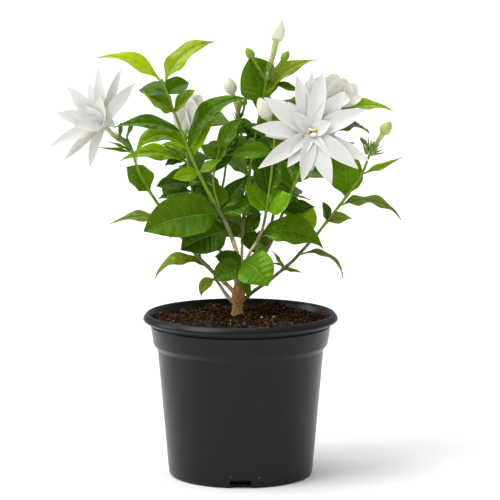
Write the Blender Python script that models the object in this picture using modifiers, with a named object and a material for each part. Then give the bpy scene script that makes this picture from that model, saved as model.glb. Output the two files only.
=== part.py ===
"""A potted Belle of India jasmine in metres: pot, soil, trunk, boughs and masses of foliage in bloom."""

import random
from collections import namedtuple
from math import cos, pi, radians, sin

import bmesh
import bpy
import numpy as np
from mathutils import Matrix, Vector
from mathutils.bvhtree import BVHTree

OBJECT_NAME = "potted_jasmine"
GAP = 0.0003
SEED = 11
UP = np.array([0.0, 0.0, 1.0])

# Pot: a 13 cm nursery pot with a rolled lip, a collar, a tapering wall and four drain notches at its foot
POT_HEIGHT = 0.109
LIP_RADIUS = 0.0651
MOUTH_RADIUS = 0.0610
LIP_FOOT = 0.1035
COLLAR_RADIUS = 0.0598
COLLAR_FOOT_RADIUS = 0.0582
COLLAR_FOOT = 0.0885
SHOULDER_RADIUS = 0.0554
SHOULDER = 0.0850
FOOT_RADIUS = 0.0482
FOOT_ROUND = 0.0022
WALL = 0.0013
FLOOR = 0.0018
POT_STEPS = 40
NOTCH_COUNT = 4
NOTCH_WIDTH = 0.0145
NOTCH_HEIGHT = 0.0048

# Soil: it fills the pot to just under the lip, level round the trunk, with a mound behind it on the right
SOIL_LEVEL = 0.1062
SOIL_RINGS = (0.050, 0.038, 0.026, 0.015, 0.007)
LEVEL_RADIUS = 0.008
MOUND_PLACE = (0.022, 0.046)
MOUND_RADIUS = 0.017
MOUND_HEIGHT = 0.0030

# Trunk: places and radii of its stations, from the flat cut at the soil to the fork
TRUNK_FOOT = 0.1069
TRUNK_STATIONS = (
    (-0.0020, 0.0, TRUNK_FOOT, 0.0041),
    (-0.0020, 0.0, 0.1090, 0.0035),
    (-0.0018, 0.0, 0.1148, 0.0046),
    (-0.0016, -0.0002, 0.1190, 0.0035),
    (-0.0008, -0.0006, 0.1290, 0.0031),
    (-0.0001, -0.0010, 0.1390, 0.0027),
)

# Boughs: foot in the trunk, bend, tip, then the radius at the foot and at the tip
Bough = namedtuple("Bough", "foot bend tip thick thin")
BOUGHS = {
    "bough_top_left": Bough(
        (-0.0006, -0.0015, 0.1365), (-0.0024, -0.004, 0.149), (-0.005, -0.006, 0.158), 0.0015, 0.0015
    ),
    "bough_top_right": Bough(
        (0.0008, -0.0018, 0.1365), (0.0057, -0.005, 0.149), (0.0105, -0.008, 0.157), 0.0011, 0.0010
    ),
    "bough_back_centre": Bough(
        (0.0002, 0.0008, 0.1365), (0.0008, 0.007, 0.147), (0.001, 0.012, 0.155), 0.0011, 0.0010
    ),
    "bough_right_mid": Bough(
        (0.0005, 0.001, 0.128), (0.0085, 0.0055, 0.136), (0.0155, 0.008, 0.146), 0.0010, 0.0009
    ),
    "bough_left": Bough(
        (-0.0010, 0.0, 0.1175), (-0.0075, -0.001, 0.126), (-0.0175, -0.002, 0.1355), 0.0015, 0.0013
    ),
    "bough_left_foot": Bough(
        (-0.0015, -0.001, 0.1125), (-0.0090, -0.0045, 0.121), (-0.0135, -0.0065, 0.128), 0.0015, 0.0011
    ),
    "bough_right_low": Bough(
        (-0.0015, -0.001, 0.1135), (0.007, -0.001, 0.122), (0.018, 0.0, 0.1295), 0.0013, 0.0011
    ),
    "bough_back_left": Bough(
        (-0.0008, 0.001, 0.126), (-0.0075, 0.016, 0.136), (-0.014, 0.030, 0.146), 0.0014, 0.0012
    ),
    "bough_back_right": Bough(
        (0.0, 0.0015, 0.1225), (0.008, 0.018, 0.132), (0.0145, 0.033, 0.142), 0.0014, 0.0012
    ),
}

# Shoots: a mass has one stem, on a bough's tip or the trunk's side, and the shoots that branch from it
Shoot = namedtuple("Shoot", "mass grows_from bend tip thick thin")
SHOOTS = {
    "top_left": Shoot(
        "foliage_top_left", "bough_top_left",
        (-0.0285, -0.014, 0.206), (-0.051, -0.024, 0.266), 0.0015, 0.0007
    ),
    "inner": Shoot(
        "foliage_top_left", ("top_left", 0.17),
        (-0.018, -0.011, 0.198), (-0.014, -0.012, 0.219), 0.0008, 0.0006
    ),
    "centre_right": Shoot(
        "foliage_centre_right", "bough_top_right",
        (0.0187, -0.013, 0.192), (0.0227, -0.009, 0.229), 0.0010, 0.0007
    ),
    "top_centre": Shoot(
        "foliage_top_centre", "bough_back_centre",
        (0.0075, 0.010, 0.212), (0.0175, 0.003, 0.265), 0.0012, 0.0008
    ),
    "bud_centre": Shoot(
        "foliage_top_centre", ("top_centre", 0.36),
        (0.0025, 0.014, 0.215), (-0.0015, 0.015, 0.236), 0.0008, 0.0007
    ),
    "right_flower": Shoot(
        "foliage_right_flower", "bough_right_mid",
        (0.030, 0.002, 0.181), (0.043, -0.020, 0.216), 0.0010, 0.0010
    ),
    "right_back": Shoot(
        "foliage_right_flower", ("right_flower", 0.68),
        (0.054, 0.006, 0.216), (0.064, 0.012, 0.242), 0.0009, 0.0008
    ),
    "left": Shoot(
        "foliage_left", "bough_left",
        (-0.0415, -0.006, 0.169), (-0.072, -0.008, 0.220), 0.0013, 0.0009
    ),
    "left_inner": Shoot(
        "foliage_left", ("left", 0.13),
        (-0.031, 0.009, 0.180), (-0.0365, 0.018, 0.216), 0.0009, 0.0007
    ),
    "left_foot": Shoot(
        "foliage_left_foot", "bough_left_foot",
        (-0.0160, -0.0075, 0.1315), (-0.0175, -0.008, 0.1335), 0.0010, 0.0008
    ),
    "right": Shoot(
        "foliage_right", "bough_right_low",
        (0.054, 0.001, 0.167), (0.086, -0.002, 0.2165), 0.0011, 0.0008
    ),
    "fork": Shoot(
        "foliage_fork", "trunk",
        (0.0008, -0.0085, 0.140), (0.0012, -0.0115, 0.1450), 0.0008, 0.0007
    ),
    "back_left": Shoot(
        "foliage_back_left", "bough_back_left",
        (-0.020, 0.044, 0.172), (-0.027, 0.058, 0.205), 0.0012, 0.0008
    ),
    "back_left_low": Shoot(
        "foliage_back_left", ("back_left", 0.20),
        (-0.030, 0.052, 0.164), (-0.040, 0.064, 0.176), 0.0009, 0.0007
    ),
    "back_left_out": Shoot(
        "foliage_back_left", ("back_left", 0.45),
        (-0.013, 0.062, 0.185), (-0.010, 0.074, 0.203), 0.0009, 0.0007
    ),
    "back_right": Shoot(
        "foliage_back_right", "bough_back_right",
        (0.022, 0.046, 0.168), (0.031, 0.058, 0.206), 0.0012, 0.0008
    ),
    "back_right_low": Shoot(
        "foliage_back_right", ("back_right", 0.22),
        (0.034, 0.052, 0.158), (0.048, 0.060, 0.168), 0.0009, 0.0007
    ),
    "back_right_out": Shoot(
        "foliage_back_right", ("back_right", 0.45),
        (0.015, 0.064, 0.182), (0.012, 0.078, 0.200), 0.0009, 0.0007
    ),
    "back_right_top": Shoot(
        "foliage_back_right", ("back_right", 0.70),
        (0.042, 0.045, 0.215), (0.049, 0.038, 0.234), 0.0008, 0.0006
    ),
}

# Leaves that show: place along the shoot, the way they head and rise in degrees, how far they bend down,
# length, how far the blade turns its face to the front, and its width against its length
Leaf = namedtuple("Leaf", "shoot place azimuth rise droop length lean ratio")
LEAVES = (
    Leaf("top_left", 0.985, 180, 47, 68, 0.049, 25, 0.40),
    Leaf("top_left", 1.0, 0, 67, 88, 0.048, 40, 0.42),
    Leaf("top_left", 0.91, 155, 25, 40, 0.022, 30, 0.80),
    Leaf("top_left", 0.91, 25, 42, 40, 0.022, 30, 0.75),
    Leaf("top_left", 0.79, 190, 45, 15, 0.026, 60, 0.80),
    Leaf("top_left", 0.79, -15, 55, 15, 0.024, 60, 0.80),
    Leaf("top_left", 0.68, 183, 25, 55, 0.048, 35, 0.42),
    Leaf("top_left", 0.57, -8, 80, 92, 0.057, 50, 0.42),
    Leaf("top_left", 0.56, 178, 33, 105, 0.048, 40, 0.38),
    Leaf("top_left", 0.43, 195, 12, 25, 0.020, 40, 0.55),
    Leaf("top_left", 0.43, -25, 38, 20, 0.018, 40, 0.55),
    Leaf("top_left", 0.17, 200, 4, 30, 0.055, 60, 0.56),
    Leaf("top_left", 0.165, 10, 22, 15, 0.029, 55, 0.60),
    Leaf("top_left", 0.175, 75, 62, 10, 0.032, 60, 0.50),
    Leaf("top_left", 0.06, 200, -8, 25, 0.036, 65, 0.66),
    Leaf("inner", 0.99, -5, 62, 20, 0.025, 60, 0.50),
    Leaf("inner", 0.85, 20, 84, 0, 0.027, 60, 0.40),
    Leaf("inner", 0.92, -150, 35, 40, 0.014, 0, 0.70),
    Leaf("inner", 0.92, -30, 40, 30, 0.012, 0, 0.70),
    Leaf("inner", 0.10, 110, 75, 5, 0.016, 0, 0.85),
    Leaf("centre_right", 0.07, -4, 16, 72, 0.048, 65, 0.52),
    Leaf("centre_right", 0.25, -145, 52, 5, 0.022, 70, 0.80),
    Leaf("centre_right", 0.25, -20, 42, 25, 0.024, 70, 0.80),
    Leaf("centre_right", 0.45, 100, 80, 10, 0.030, 0, 0.85),
    Leaf("centre_right", 0.87, 185, 14, 45, 0.034, 50, 0.45),
    Leaf("top_centre", 0.83, -115, 74, 35, 0.032, 10, 0.85),
    Leaf("top_centre", 0.88, 5, 58, 55, 0.044, 40, 0.40),
    Leaf("top_centre", 0.97, 0, -10, 30, 0.021, 40, 0.32),
    Leaf("top_centre", 0.80, 10, 15, 30, 0.026, 40, 0.60),
    Leaf("top_centre", 0.62, 165, 45, 25, 0.027, 50, 0.45),
    Leaf("top_centre", 0.04, 40, 45, 20, 0.022, 50, 0.45),
    Leaf("top_centre", 0.05, 195, 20, 40, 0.020, 50, 0.60),
    Leaf("right_flower", 0.78, 10, 35, 0, 0.015, 40, 0.45),
    Leaf("right_flower", 0.44, -10, 13, 80, 0.028, 60, 0.75),
    Leaf("right_flower", 0.74, 120, 55, 10, 0.021, 30, 0.50),
    Leaf("right_flower", 0.86, -110, 5, 30, 0.020, 30, 0.50),
    Leaf("right_back", 0.92, 0, 22, 60, 0.034, 35, 0.32),
    Leaf("left", 0.06, 180, 30, 103, 0.042, 30, 0.38),
    Leaf("left", 0.45, 180, 14, 50, 0.040, 30, 0.35),
    Leaf("left", 0.69, 175, 46, 20, 0.027, 60, 0.85),
    Leaf("left", 0.97, 180, 30, 25, 0.019, 30, 0.20),
    Leaf("left_inner", 0.88, 180, 28, 45, 0.030, 50, 0.45),
    Leaf("left_inner", 0.68, 190, 12, 35, 0.024, 50, 0.55),
    Leaf("left_inner", 0.80, 185, 25, 55, 0.020, 40, 0.55),
    Leaf("left_inner", 0.55, 185, -5, 20, 0.019, 40, 0.50),
    Leaf("left_inner", 0.68, -10, -20, 10, 0.016, 40, 0.50),
    Leaf("left_foot", 1.0, 190, -22, 70, 0.019, 50, 0.70),
    Leaf("fork", 1.0, -45, -10, 50, 0.030, 70, 0.85),
    Leaf("fork", 0.8, -155, -22, 40, 0.026, 60, 0.60),
    Leaf("fork", 0.7, 165, 30, 30, 0.020, 60, 0.60),
    Leaf("right", 0.17, 170, 75, 10, 0.012, 30, 0.35),
    Leaf("right", 0.16, 180, 25, 5, 0.009, 30, 0.28),
    Leaf("right", 0.17, -5, 5, 15, 0.013, 30, 0.35),
    Leaf("right", 0.25, 0, 14, 98, 0.040, 20, 0.28),
    Leaf("right", 0.53, -165, 72, 20, 0.014, 50, 0.65),
    Leaf("right", 0.53, -10, 28, 30, 0.017, 50, 0.55),
    Leaf("right", 0.69, -150, 82, 20, 0.028, 60, 0.80),
    Leaf("right", 0.66, 0, 18, 90, 0.044, 30, 0.30),
    Leaf("right", 0.90, 0, 14, -8, 0.027, 30, 0.25),
)

# Rule for the leaves behind: opposite pairs, each turned a quarter from the last
PAIR_SPACING = 0.014
PAIR_LENGTH = (0.028, 0.040)
PAIR_RISE = (5, 50)
PAIR_DROOP = (35, 85)
PAIR_LEAN = 50
PAIR_RATIO = (0.45, 0.62)
TRIES = 10
RULE_SHOOTS = {
    "inner": (0.30, 0.75),
    "top_centre": (0.08, 0.78),
    "bud_centre": (0.30, 0.80),
    "centre_right": (0.38, 0.95),
    "right_flower": (0.15, 0.80),
    "right_back": (0.20, 0.70),
    "left_inner": (0.20, 0.60),
    "back_left": (0.15, 1.0),
    "back_left_low": (0.45, 1.0),
    "back_left_out": (0.45, 1.0),
    "back_right": (0.15, 1.0),
    "back_right_low": (0.45, 1.0),
    "back_right_out": (0.45, 1.0),
    "back_right_top": (0.50, 1.0),
}

# Crown as seen from the front: leaves of the rule stay in these ellipses and out of the open windows
VIEWPOINT = np.array([0.006, -1.6, 0.368])
CROWN = (
    ((-0.012, 0.190), (0.052, 0.052)),
    ((0.050, 0.215), (0.040, 0.042)),
    ((0.004, 0.232), (0.028, 0.030)),
)
WINDOWS = (
    ((-0.024, 0.228), (0.006, 0.007)),
    ((-0.008, 0.205), (0.010, 0.007)),
    ((0.020, 0.177), (0.005, 0.005)),
    ((-0.032, 0.190), (0.008, 0.005)),
    ((-0.022, 0.146), (0.012, 0.012)),
    ((0.026, 0.146), (0.012, 0.016)),
)

# Flowers: the shoot they end, the bend and the centre, the way they face, and rings of petals, each with its
# count, first turn, lift from the flower's plane, bend back, length and width
Flower = namedtuple("Flower", "grows_from bend centre faces rings")
Ring = namedtuple("Ring", "count turn lift droop length width")
FLOWERS = {
    "flower_left": Flower(
        "left", (-0.084, -0.010, 0.229), (-0.0895, -0.012, 0.2355), (-0.78, -0.40, 0.48),
        (
            Ring(8, 12, 2, 14, 0.036, 0.0110),
            Ring(6, 30, 34, 8, 0.034, 0.0100),
            Ring(3, 50, 62, 4, 0.030, 0.0095),
        ),
    ),
    "flower_right": Flower(
        "right_flower", (0.0445, -0.027, 0.224), (0.0458, -0.036, 0.232), (0.06, -0.96, 0.26),
        (Ring(12, 3, 12, 18, 0.039, 0.0125), Ring(6, 20, 42, 25, 0.020, 0.0105)),
    ),
    "flower_back": Flower(
        "right_back", (0.063, 0.0135, 0.245), (0.0610, 0.014, 0.2475), (0.05, -0.20, 0.97),
        (Ring(7, 10, 30, 10, 0.021, 0.0100), Ring(5, 40, 62, -5, 0.016, 0.0095)),
    ),
    "flower_half_open": Flower(
        "left_inner", (-0.038, 0.021, 0.223), (-0.0375, 0.024, 0.229), (0.18, 0.0, 0.98),
        (Ring(4, 20, 72, -6, 0.020, 0.0095),),
    ),
}
TUBE_THIN = 0.0010
TUBE_THICK = 0.0017

# Buds: the shoot and place they grow from, the bend and head of the stalk, and the bud's length and width
Bud = namedtuple("Bud", "grows_from place bend head length width stalk")
BUDS = {
    "bud_top": Bud(
        "top_centre", 1.0, (0.0214, 0.003, 0.280), (0.0234, 0.003, 0.289), 0.0165, 0.0090, 0.0013
    ),
    "bud_top_left": Bud(
        "top_centre", 0.97, (0.0115, 0.002, 0.272), (0.0075, 0.002, 0.279), 0.0075, 0.0048, 0.0007
    ),
    "bud_top_right": Bud(
        "top_centre", 1.0, (0.0250, 0.001, 0.273), (0.0275, 0.0, 0.277), 0.0070, 0.0046, 0.0007
    ),
    "bud_left": Bud(
        "bud_centre", 0.9, (-0.0024, 0.014, 0.244), (-0.0054, 0.013, 0.254), 0.0125, 0.0088, 0.0011
    ),
    "bud_small": Bud(
        "bud_centre", 1.0, (0.0015, 0.015, 0.241), (0.0025, 0.015, 0.246), 0.0060, 0.0034, 0.0006
    ),
    "bud_centre": Bud(
        "centre_right", 1.0, (0.0212, -0.009, 0.233), (0.0185, -0.009, 0.239), 0.0160, 0.0098, 0.0012
    ),
    "bud_right": Bud(
        "right", 1.0, (0.0895, -0.003, 0.222), (0.0935, -0.004, 0.2285), 0.0105, 0.0078, 0.0013
    ),
    "bud_right_small": Bud(
        "right", 1.0, (0.0845, -0.003, 0.2195), (0.0825, -0.003, 0.222), 0.0060, 0.0030, 0.0006
    ),
    "bud_left_small": Bud(
        "left", 0.98, (-0.0745, -0.008, 0.226), (-0.0735, -0.008, 0.230), 0.0080, 0.0032, 0.0006
    ),
    "bud_left_twin": Bud(
        "left", 0.99, (-0.0785, -0.008, 0.225), (-0.0790, -0.008, 0.229), 0.0080, 0.0032, 0.0006
    ),
}

# Looks: colour, roughness
PLASTIC = ((0.030, 0.031, 0.032), 0.45)
SOIL = ((0.040, 0.020, 0.010), 0.95)
BARK = ((0.235, 0.135, 0.070), 0.80)
YOUNG_BARK = ((0.360, 0.270, 0.150), 0.75)
LEAF_GREEN = ((0.070, 0.220, 0.010), 0.40)


def clear_scene():
    for old in list(bpy.data.objects):
        bpy.data.objects.remove(old)


def material(name, look):
    made = bpy.data.materials.new(name)
    made.use_nodes = True
    shader = made.node_tree.nodes["Principled BSDF"]
    shader.inputs["Base Color"].default_value = (*look[0], 1.0)
    shader.inputs["Roughness"].default_value = look[1]
    shader.inputs["Metallic"].default_value = 0.0
    return made


def unit(vector):
    vector = np.asarray(vector, float)
    return vector / np.linalg.norm(vector)


def smooth_path(points, start=None, steps=4):
    """Curve through the points, leaving the first one along start."""
    points = [np.asarray(point, float) for point in points]
    before = 2 * points[0] - points[1]
    if start is not None:
        before = points[1] - 2 * unit(start)[: len(points[0])] * np.linalg.norm(points[1] - points[0])
    points = [before] + points + [2 * points[-1] - points[-2]]
    path = []
    for i in range(1, len(points) - 2):
        a, b, c, d = points[i - 1 : i + 3]
        for k in range(steps):
            t = k / steps
            path.append(
                b + 0.5 * t * (c - a + t * (2 * a - 5 * b + 4 * c - d + t * (3 * (b - c) + d - a)))
            )
    path.append(points[-2])
    return np.array(path)


def along(path, place):
    """Point and heading at a share of the path's length."""
    sides = np.diff(path, axis=0)
    lengths = np.linalg.norm(sides, axis=1)
    reached = np.concatenate([[0.0], np.cumsum(lengths)])
    wanted = place * reached[-1]
    i = min(max(int(np.searchsorted(reached, wanted)) - 1, 0), len(sides) - 1)
    share = (wanted - reached[i]) / lengths[i]
    return path[i] + sides[i] * share, unit(sides[i])


def mesh_object(name, mesh, look):
    mesh.name = name
    made = bpy.data.objects.new(name, mesh)
    mesh.materials.clear()
    mesh.materials.append(look)
    bpy.context.scene.collection.objects.link(made)
    return made


def evaluated_mesh(source):
    bpy.context.view_layer.update()
    graph = bpy.context.evaluated_depsgraph_get()
    return bpy.data.meshes.new_from_object(source.evaluated_get(graph))


def limb(name, path, radii, look, roundness=1):
    """Tapering tube with closed ends along a path."""
    curve = bpy.data.curves.new(name, "CURVE")
    curve.dimensions = "3D"
    curve.bevel_depth = 1.0
    curve.bevel_resolution = roundness
    curve.use_fill_caps = True
    spline = curve.splines.new("POLY")
    spline.points.add(len(path) - 1)
    for point, place, radius in zip(spline.points, path, radii):
        point.co = (*place, 1.0)
        point.radius = radius
    guide = bpy.data.objects.new(name + "_guide", curve)
    bpy.context.scene.collection.objects.link(guide)
    mesh = evaluated_mesh(guide)
    bpy.data.objects.remove(guide)
    body = bmesh.new()
    body.from_mesh(mesh)
    bmesh.ops.remove_doubles(body, verts=body.verts, dist=1e-6)
    bmesh.ops.recalc_face_normals(body, faces=body.faces)
    body.to_mesh(mesh)
    body.free()
    return mesh_object(name, mesh, look)


def taper(path, thick, thin):
    return np.linspace(thick, thin, len(path))


def keep_largest(mesh):
    """Drops scraps and the walls of sealed hollows."""
    body = bmesh.new()
    body.from_mesh(mesh)
    left = set(body.verts)
    islands = []
    while left:
        front = [left.pop()]
        island = set(front)
        while front:
            for edge in front.pop().link_edges:
                for vert in edge.verts:
                    if vert in left:
                        left.remove(vert)
                        island.add(vert)
                        front.append(vert)
        islands.append(island)
    islands.sort(key=len, reverse=True)
    for island in islands[1:]:
        bmesh.ops.delete(body, geom=list(island), context="VERTS")
    body.to_mesh(mesh)
    body.free()
    return mesh


def apply_modifiers(target):
    mesh = keep_largest(evaluated_mesh(target))
    target.modifiers.clear()
    old = target.data
    target.data = mesh
    mesh.name = old.name
    bpy.data.meshes.remove(old)


def add_boolean(target, operation, solver="EXACT", cutter=None, pieces=None):
    modifier = target.modifiers.new(operation.lower(), "BOOLEAN")
    modifier.operation = operation
    modifier.solver = solver
    if cutter:
        modifier.object = cutter
    if pieces:
        modifier.operand_type = "COLLECTION"
        modifier.collection = pieces
    return modifier


def cutter_of(name, path, radii, look):
    """Helper a gap wider than a limb, for cutting its neighbours clear."""
    ends = np.array(path, float)
    ends[-1] += GAP * unit(ends[-1] - ends[-2])
    wider = limb(name + "_clearance", ends, np.asarray(radii) + 1.3 * GAP, look, roundness=2)
    wider.hide_render = True
    wider.display_type = "WIRE"
    return wider


def inner_outline(inset=0.0):
    """Inside of the pot from the middle of its floor to its mouth."""
    shift = WALL + inset
    return [
        (0.0, FLOOR + inset),
        (FOOT_RADIUS - shift - FOOT_ROUND, FLOOR + inset),
        (FOOT_RADIUS - shift, FLOOR + inset + FOOT_ROUND),
        (SHOULDER_RADIUS - shift, SHOULDER + 0.0005),
        (COLLAR_FOOT_RADIUS - shift, COLLAR_FOOT + 0.0005),
        (COLLAR_RADIUS - shift, LIP_FOOT + 0.0005),
    ]


def pot_outline():
    """Up the inside, over the lip and down the outside to the middle of the underside."""
    lip = [
        (MOUTH_RADIUS - 0.0010, POT_HEIGHT - 0.0020),
        (MOUTH_RADIUS, POT_HEIGHT - 0.0005),
        (MOUTH_RADIUS + 0.0008, POT_HEIGHT),
        (MOUTH_RADIUS + 0.0018, POT_HEIGHT - 0.0002),
        (LIP_RADIUS - 0.0006, POT_HEIGHT - 0.0024),
        (LIP_RADIUS, POT_HEIGHT - 0.0038),
        (LIP_RADIUS - 0.0006, LIP_FOOT + 0.0006),
    ]
    outside = [
        (COLLAR_RADIUS + 0.0004, LIP_FOOT),
        (COLLAR_RADIUS, LIP_FOOT - 0.0006),
        (COLLAR_FOOT_RADIUS, COLLAR_FOOT),
        (SHOULDER_RADIUS, SHOULDER),
        (FOOT_RADIUS, FOOT_ROUND),
        (FOOT_RADIUS - 0.3 * FOOT_ROUND, 0.3 * FOOT_ROUND),
        (FOOT_RADIUS - FOOT_ROUND, 0.0),
        (0.0, 0.0),
    ]
    return inner_outline() + lip + outside


def turned(name, outline, look, steps):
    """Solid turned from an outline in X and Z, with the two ends of the outline on the axis."""
    mesh = bpy.data.meshes.new(name)
    mesh.from_pydata([(x, 0.0, z) for x, z in outline], [(i, i + 1) for i in range(len(outline) - 1)], [])
    made = mesh_object(name, mesh, look)
    screw = made.modifiers.new("turn", "SCREW")
    screw.steps = steps
    screw.render_steps = steps
    screw.use_merge_vertices = True
    screw.merge_threshold = 1e-5
    screw.use_normal_calculate = True
    return made


def notch_cutter(name, azimuth):
    """Wedge that opens a drain notch, narrower at its top."""
    body = bmesh.new()
    bmesh.ops.create_cube(body, size=1.0)
    for vert in body.verts:
        top = vert.co.z > 0
        vert.co.x *= 0.012
        vert.co.y *= NOTCH_WIDTH * (0.82 if top else 1.08)
        vert.co.z = NOTCH_HEIGHT if top else -0.002
    bmesh.ops.translate(body, verts=body.verts, vec=(FOOT_RADIUS + 0.002, 0.0, 0.0))
    bmesh.ops.rotate(body, verts=body.verts, cent=(0, 0, 0), matrix=Matrix.Rotation(azimuth, 3, "Z"))
    mesh = bpy.data.meshes.new(name)
    body.to_mesh(mesh)
    body.free()
    cutter = bpy.data.objects.new(name, mesh)
    bpy.context.scene.collection.objects.link(cutter)
    cutter.hide_render = True
    cutter.display_type = "WIRE"
    return cutter


def make_pot():
    pot = turned("pot", pot_outline(), material("pot_plastic", PLASTIC), POT_STEPS)
    cutters = []
    for k in range(NOTCH_COUNT):
        cutter = notch_cutter(f"notch_{k}", -pi / 2 + 2 * pi * k / NOTCH_COUNT)
        add_boolean(pot, "DIFFERENCE", cutter=cutter)
        cutters.append(cutter)
    apply_modifiers(pot)
    for cutter in cutters:
        bpy.data.objects.remove(cutter)
    return pot


def soil_rise(x, y):
    """Height of the soil above its level: low ridges, a mound, and flat round the trunk."""
    away = ((x - TRUNK_STATIONS[0][0]) ** 2 + y**2) ** 0.5
    calm = min(1.0, max(0.0, (away - LEVEL_RADIUS) / LEVEL_RADIUS))
    ridges = 0.0004 * (sin(310 * x + 1.0) + sin(260 * y) + sin(190 * (x + y) + 2.0))
    reach = ((x - MOUND_PLACE[0]) ** 2 + (y - MOUND_PLACE[1]) ** 2) ** 0.5 / MOUND_RADIUS
    mound = MOUND_HEIGHT * 0.5 * (1 + cos(pi * min(1.0, reach)))
    return calm * (ridges + mound)


def make_soil():
    outline = inner_outline(inset=GAP)
    low, high = outline[-2], outline[-1]
    share = (SOIL_LEVEL - 0.0006 - low[1]) / (high[1] - low[1])
    outline[-1] = (low[0] + share * (high[0] - low[0]), SOIL_LEVEL - 0.0006)
    outline = outline[::-1]
    top = [(0.0, SOIL_LEVEL)] + [(radius, SOIL_LEVEL) for radius in reversed(SOIL_RINGS)]
    soil = turned("soil", (top + outline), material("peat", SOIL), POT_STEPS)
    apply_modifiers(soil)
    for vert in soil.data.vertices:
        if vert.co.z > SOIL_LEVEL - 0.0001:
            vert.co.z += soil_rise(vert.co.x, vert.co.y)
    return soil


def make_trunk():
    stations = smooth_path(TRUNK_STATIONS, steps=2)
    path, radii = stations[:, :3], stations[:, 3]
    bark = material("trunk_bark", BARK)
    trunk = limb("trunk", path, radii, bark, roundness=4)
    for vert in trunk.data.vertices:
        if vert.co.z < TRUNK_FOOT + 0.0006:
            vert.co.z = TRUNK_FOOT
    return trunk, cutter_of("trunk", path, radii, bark)


def make_boughs(trunk_clearance):
    """Boughs cut clear of the trunk and of each other, and their paths by name."""
    made, paths, clearances = {}, {}, [trunk_clearance]
    for name, plan in BOUGHS.items():
        bark = material(name + "_bark", YOUNG_BARK)
        path = smooth_path([plan.foot, plan.bend, plan.tip])
        radii = taper(path, plan.thick, plan.thin)
        bough = limb(name, path, radii, bark, roundness=2)
        for clearance in clearances:
            add_boolean(bough, "DIFFERENCE", cutter=clearance)
        apply_modifiers(bough)
        clearances.append(cutter_of(name, path, radii, bark))
        made[name] = bough
        paths[name] = path
    for clearance in clearances:
        bpy.data.objects.remove(clearance)
    return made, paths


def shoot_start(plan, paths):
    """Foot and first heading of a shoot: on a bough's tip, on the trunk's side, or in another shoot."""
    if isinstance(plan.grows_from, tuple):
        return along(paths[plan.grows_from[0]], plan.grows_from[1])[0], None
    if plan.grows_from == "trunk":
        stations = np.array(TRUNK_STATIONS)
        heading = unit(np.array(plan.bend) * (0, 1, 0))
        place = stations[-2, :3] + (stations[-1, :3] - stations[-2, :3]) * 0.45
        return place + heading * (stations[-2, 3] + GAP), heading
    foot, heading = along(paths[plan.grows_from], 1.0)
    return foot + heading * GAP * 1.3, heading


def shoot_paths(bough_paths):
    paths = dict(bough_paths)
    for name, plan in SHOOTS.items():
        foot, heading = shoot_start(plan, paths)
        paths[name] = smooth_path([foot, plan.bend, plan.tip], heading)
    return paths


def blade(base, across, up, rise, droop, length, width, lean, front, stations):
    """Rows of (left edge, rib, right edge, normal) of a leaf or petal that bends as it goes."""
    out_right = np.cross(across, up)
    turn = radians(lean * float(out_right @ front))
    step = 1.0 / 24
    rib, rows = np.array(base, float), []
    for i in range(25):
        share = i * step
        angle = radians(rise - droop * share**1.3)
        heading = cos(angle) * across + sin(angle) * up
        for wanted, half, thick in stations:
            if abs(wanted - share) < step / 2:
                normal = np.cross(out_right, heading)
                face = cos(turn) * normal + sin(turn) * out_right
                side = cos(turn) * out_right - sin(turn) * normal
                reach = side * (half * width * cos(radians(FOLD)))
                lift = face * (half * width * sin(radians(FOLD)))
                rows.append((rib - reach + lift, rib.copy(), rib + reach + lift, face * thick))
        rib = rib + heading * length * step
    return rows


FOLD = 16
ROOT_SUNK = 0.0003
LONG_LEAF = 0.030
LEAF_STATIONS = ((0.0, 0.06), (0.166, 0.30), (0.416, 0.50), (0.708, 0.34), (1.0, 0.0))
PLAIN_STATIONS = ((0.0, 0.06), (0.292, 0.45), (0.625, 0.42), (1.0, 0.0))
LONG_LEAF_STATIONS = ((0.0, 0.05), (0.125, 0.22), (0.291, 0.44), (0.458, 0.50), (0.708, 0.35), (1.0, 0.0))
PETAL_SHARES = (0.0, 0.25, 0.5, 0.75, 1.0)
PETAL_HALVES = (0.20, 0.36, 0.50, 0.37, 0.0)
PETAL_THICK = 0.0010
RING_STEP = 0.0004


def blade_solid(base, across, up, rise, droop, length, width, lean, front, outline, thickness):
    """Closed thin wedge with a rib on both faces: points and faces."""
    stations = [(share, half, thickness * (1.0 - 0.45 * share)) for share, half in outline]
    rows = blade(base, across, up, rise, droop, length, width, lean, front, stations)
    points, faces = [], []
    for left, rib, right, thick in rows[:-1]:
        points += [left, rib + thick / 2, right, rib - thick / 2]
    points.append(rows[-1][1])
    for i in range(len(rows) - 2):
        for k in range(4):
            a, b = 4 * i + k, 4 * i + (k + 1) % 4
            faces.append((a, a + 4, b + 4, b))
    last = 4 * (len(rows) - 2)
    tip = len(points) - 1
    faces += [(last + k, tip, last + (k + 1) % 4) for k in range(4)]
    faces.append((0, 1, 2, 3))
    return [tuple(point) for point in points], faces


def leaf_solid(path, leaf, front, outline, wider=0.0):
    """Leaf with its root on the shoot's axis, or wider by so much all round."""
    azimuth = radians(leaf.azimuth)
    across = np.array([cos(azimuth), sin(azimuth), 0.0])
    base = along(path, leaf.place)[0] - across * ROOT_SUNK
    thickness = max(0.0009, 0.03 * leaf.length) + 2 * wider
    width = leaf.length * leaf.ratio + 2 * wider
    return blade_solid(
        base, across, UP, leaf.rise, leaf.droop,
        leaf.length + wider, width, leaf.lean, front, outline, thickness,
    )


def ring_profile(ring):
    """Share, distance from the axis, height and heading along the middle of a petal."""
    steps = 24
    out, high, rows = 0.0, 0.0, []
    for i in range(steps + 1):
        share = i / steps
        heading = radians(ring.lift - ring.droop * share**1.3)
        rows.append((share, out, high, heading))
        out += cos(heading) * ring.length / steps
        high += sin(heading) * ring.length / steps
    return rows


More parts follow.
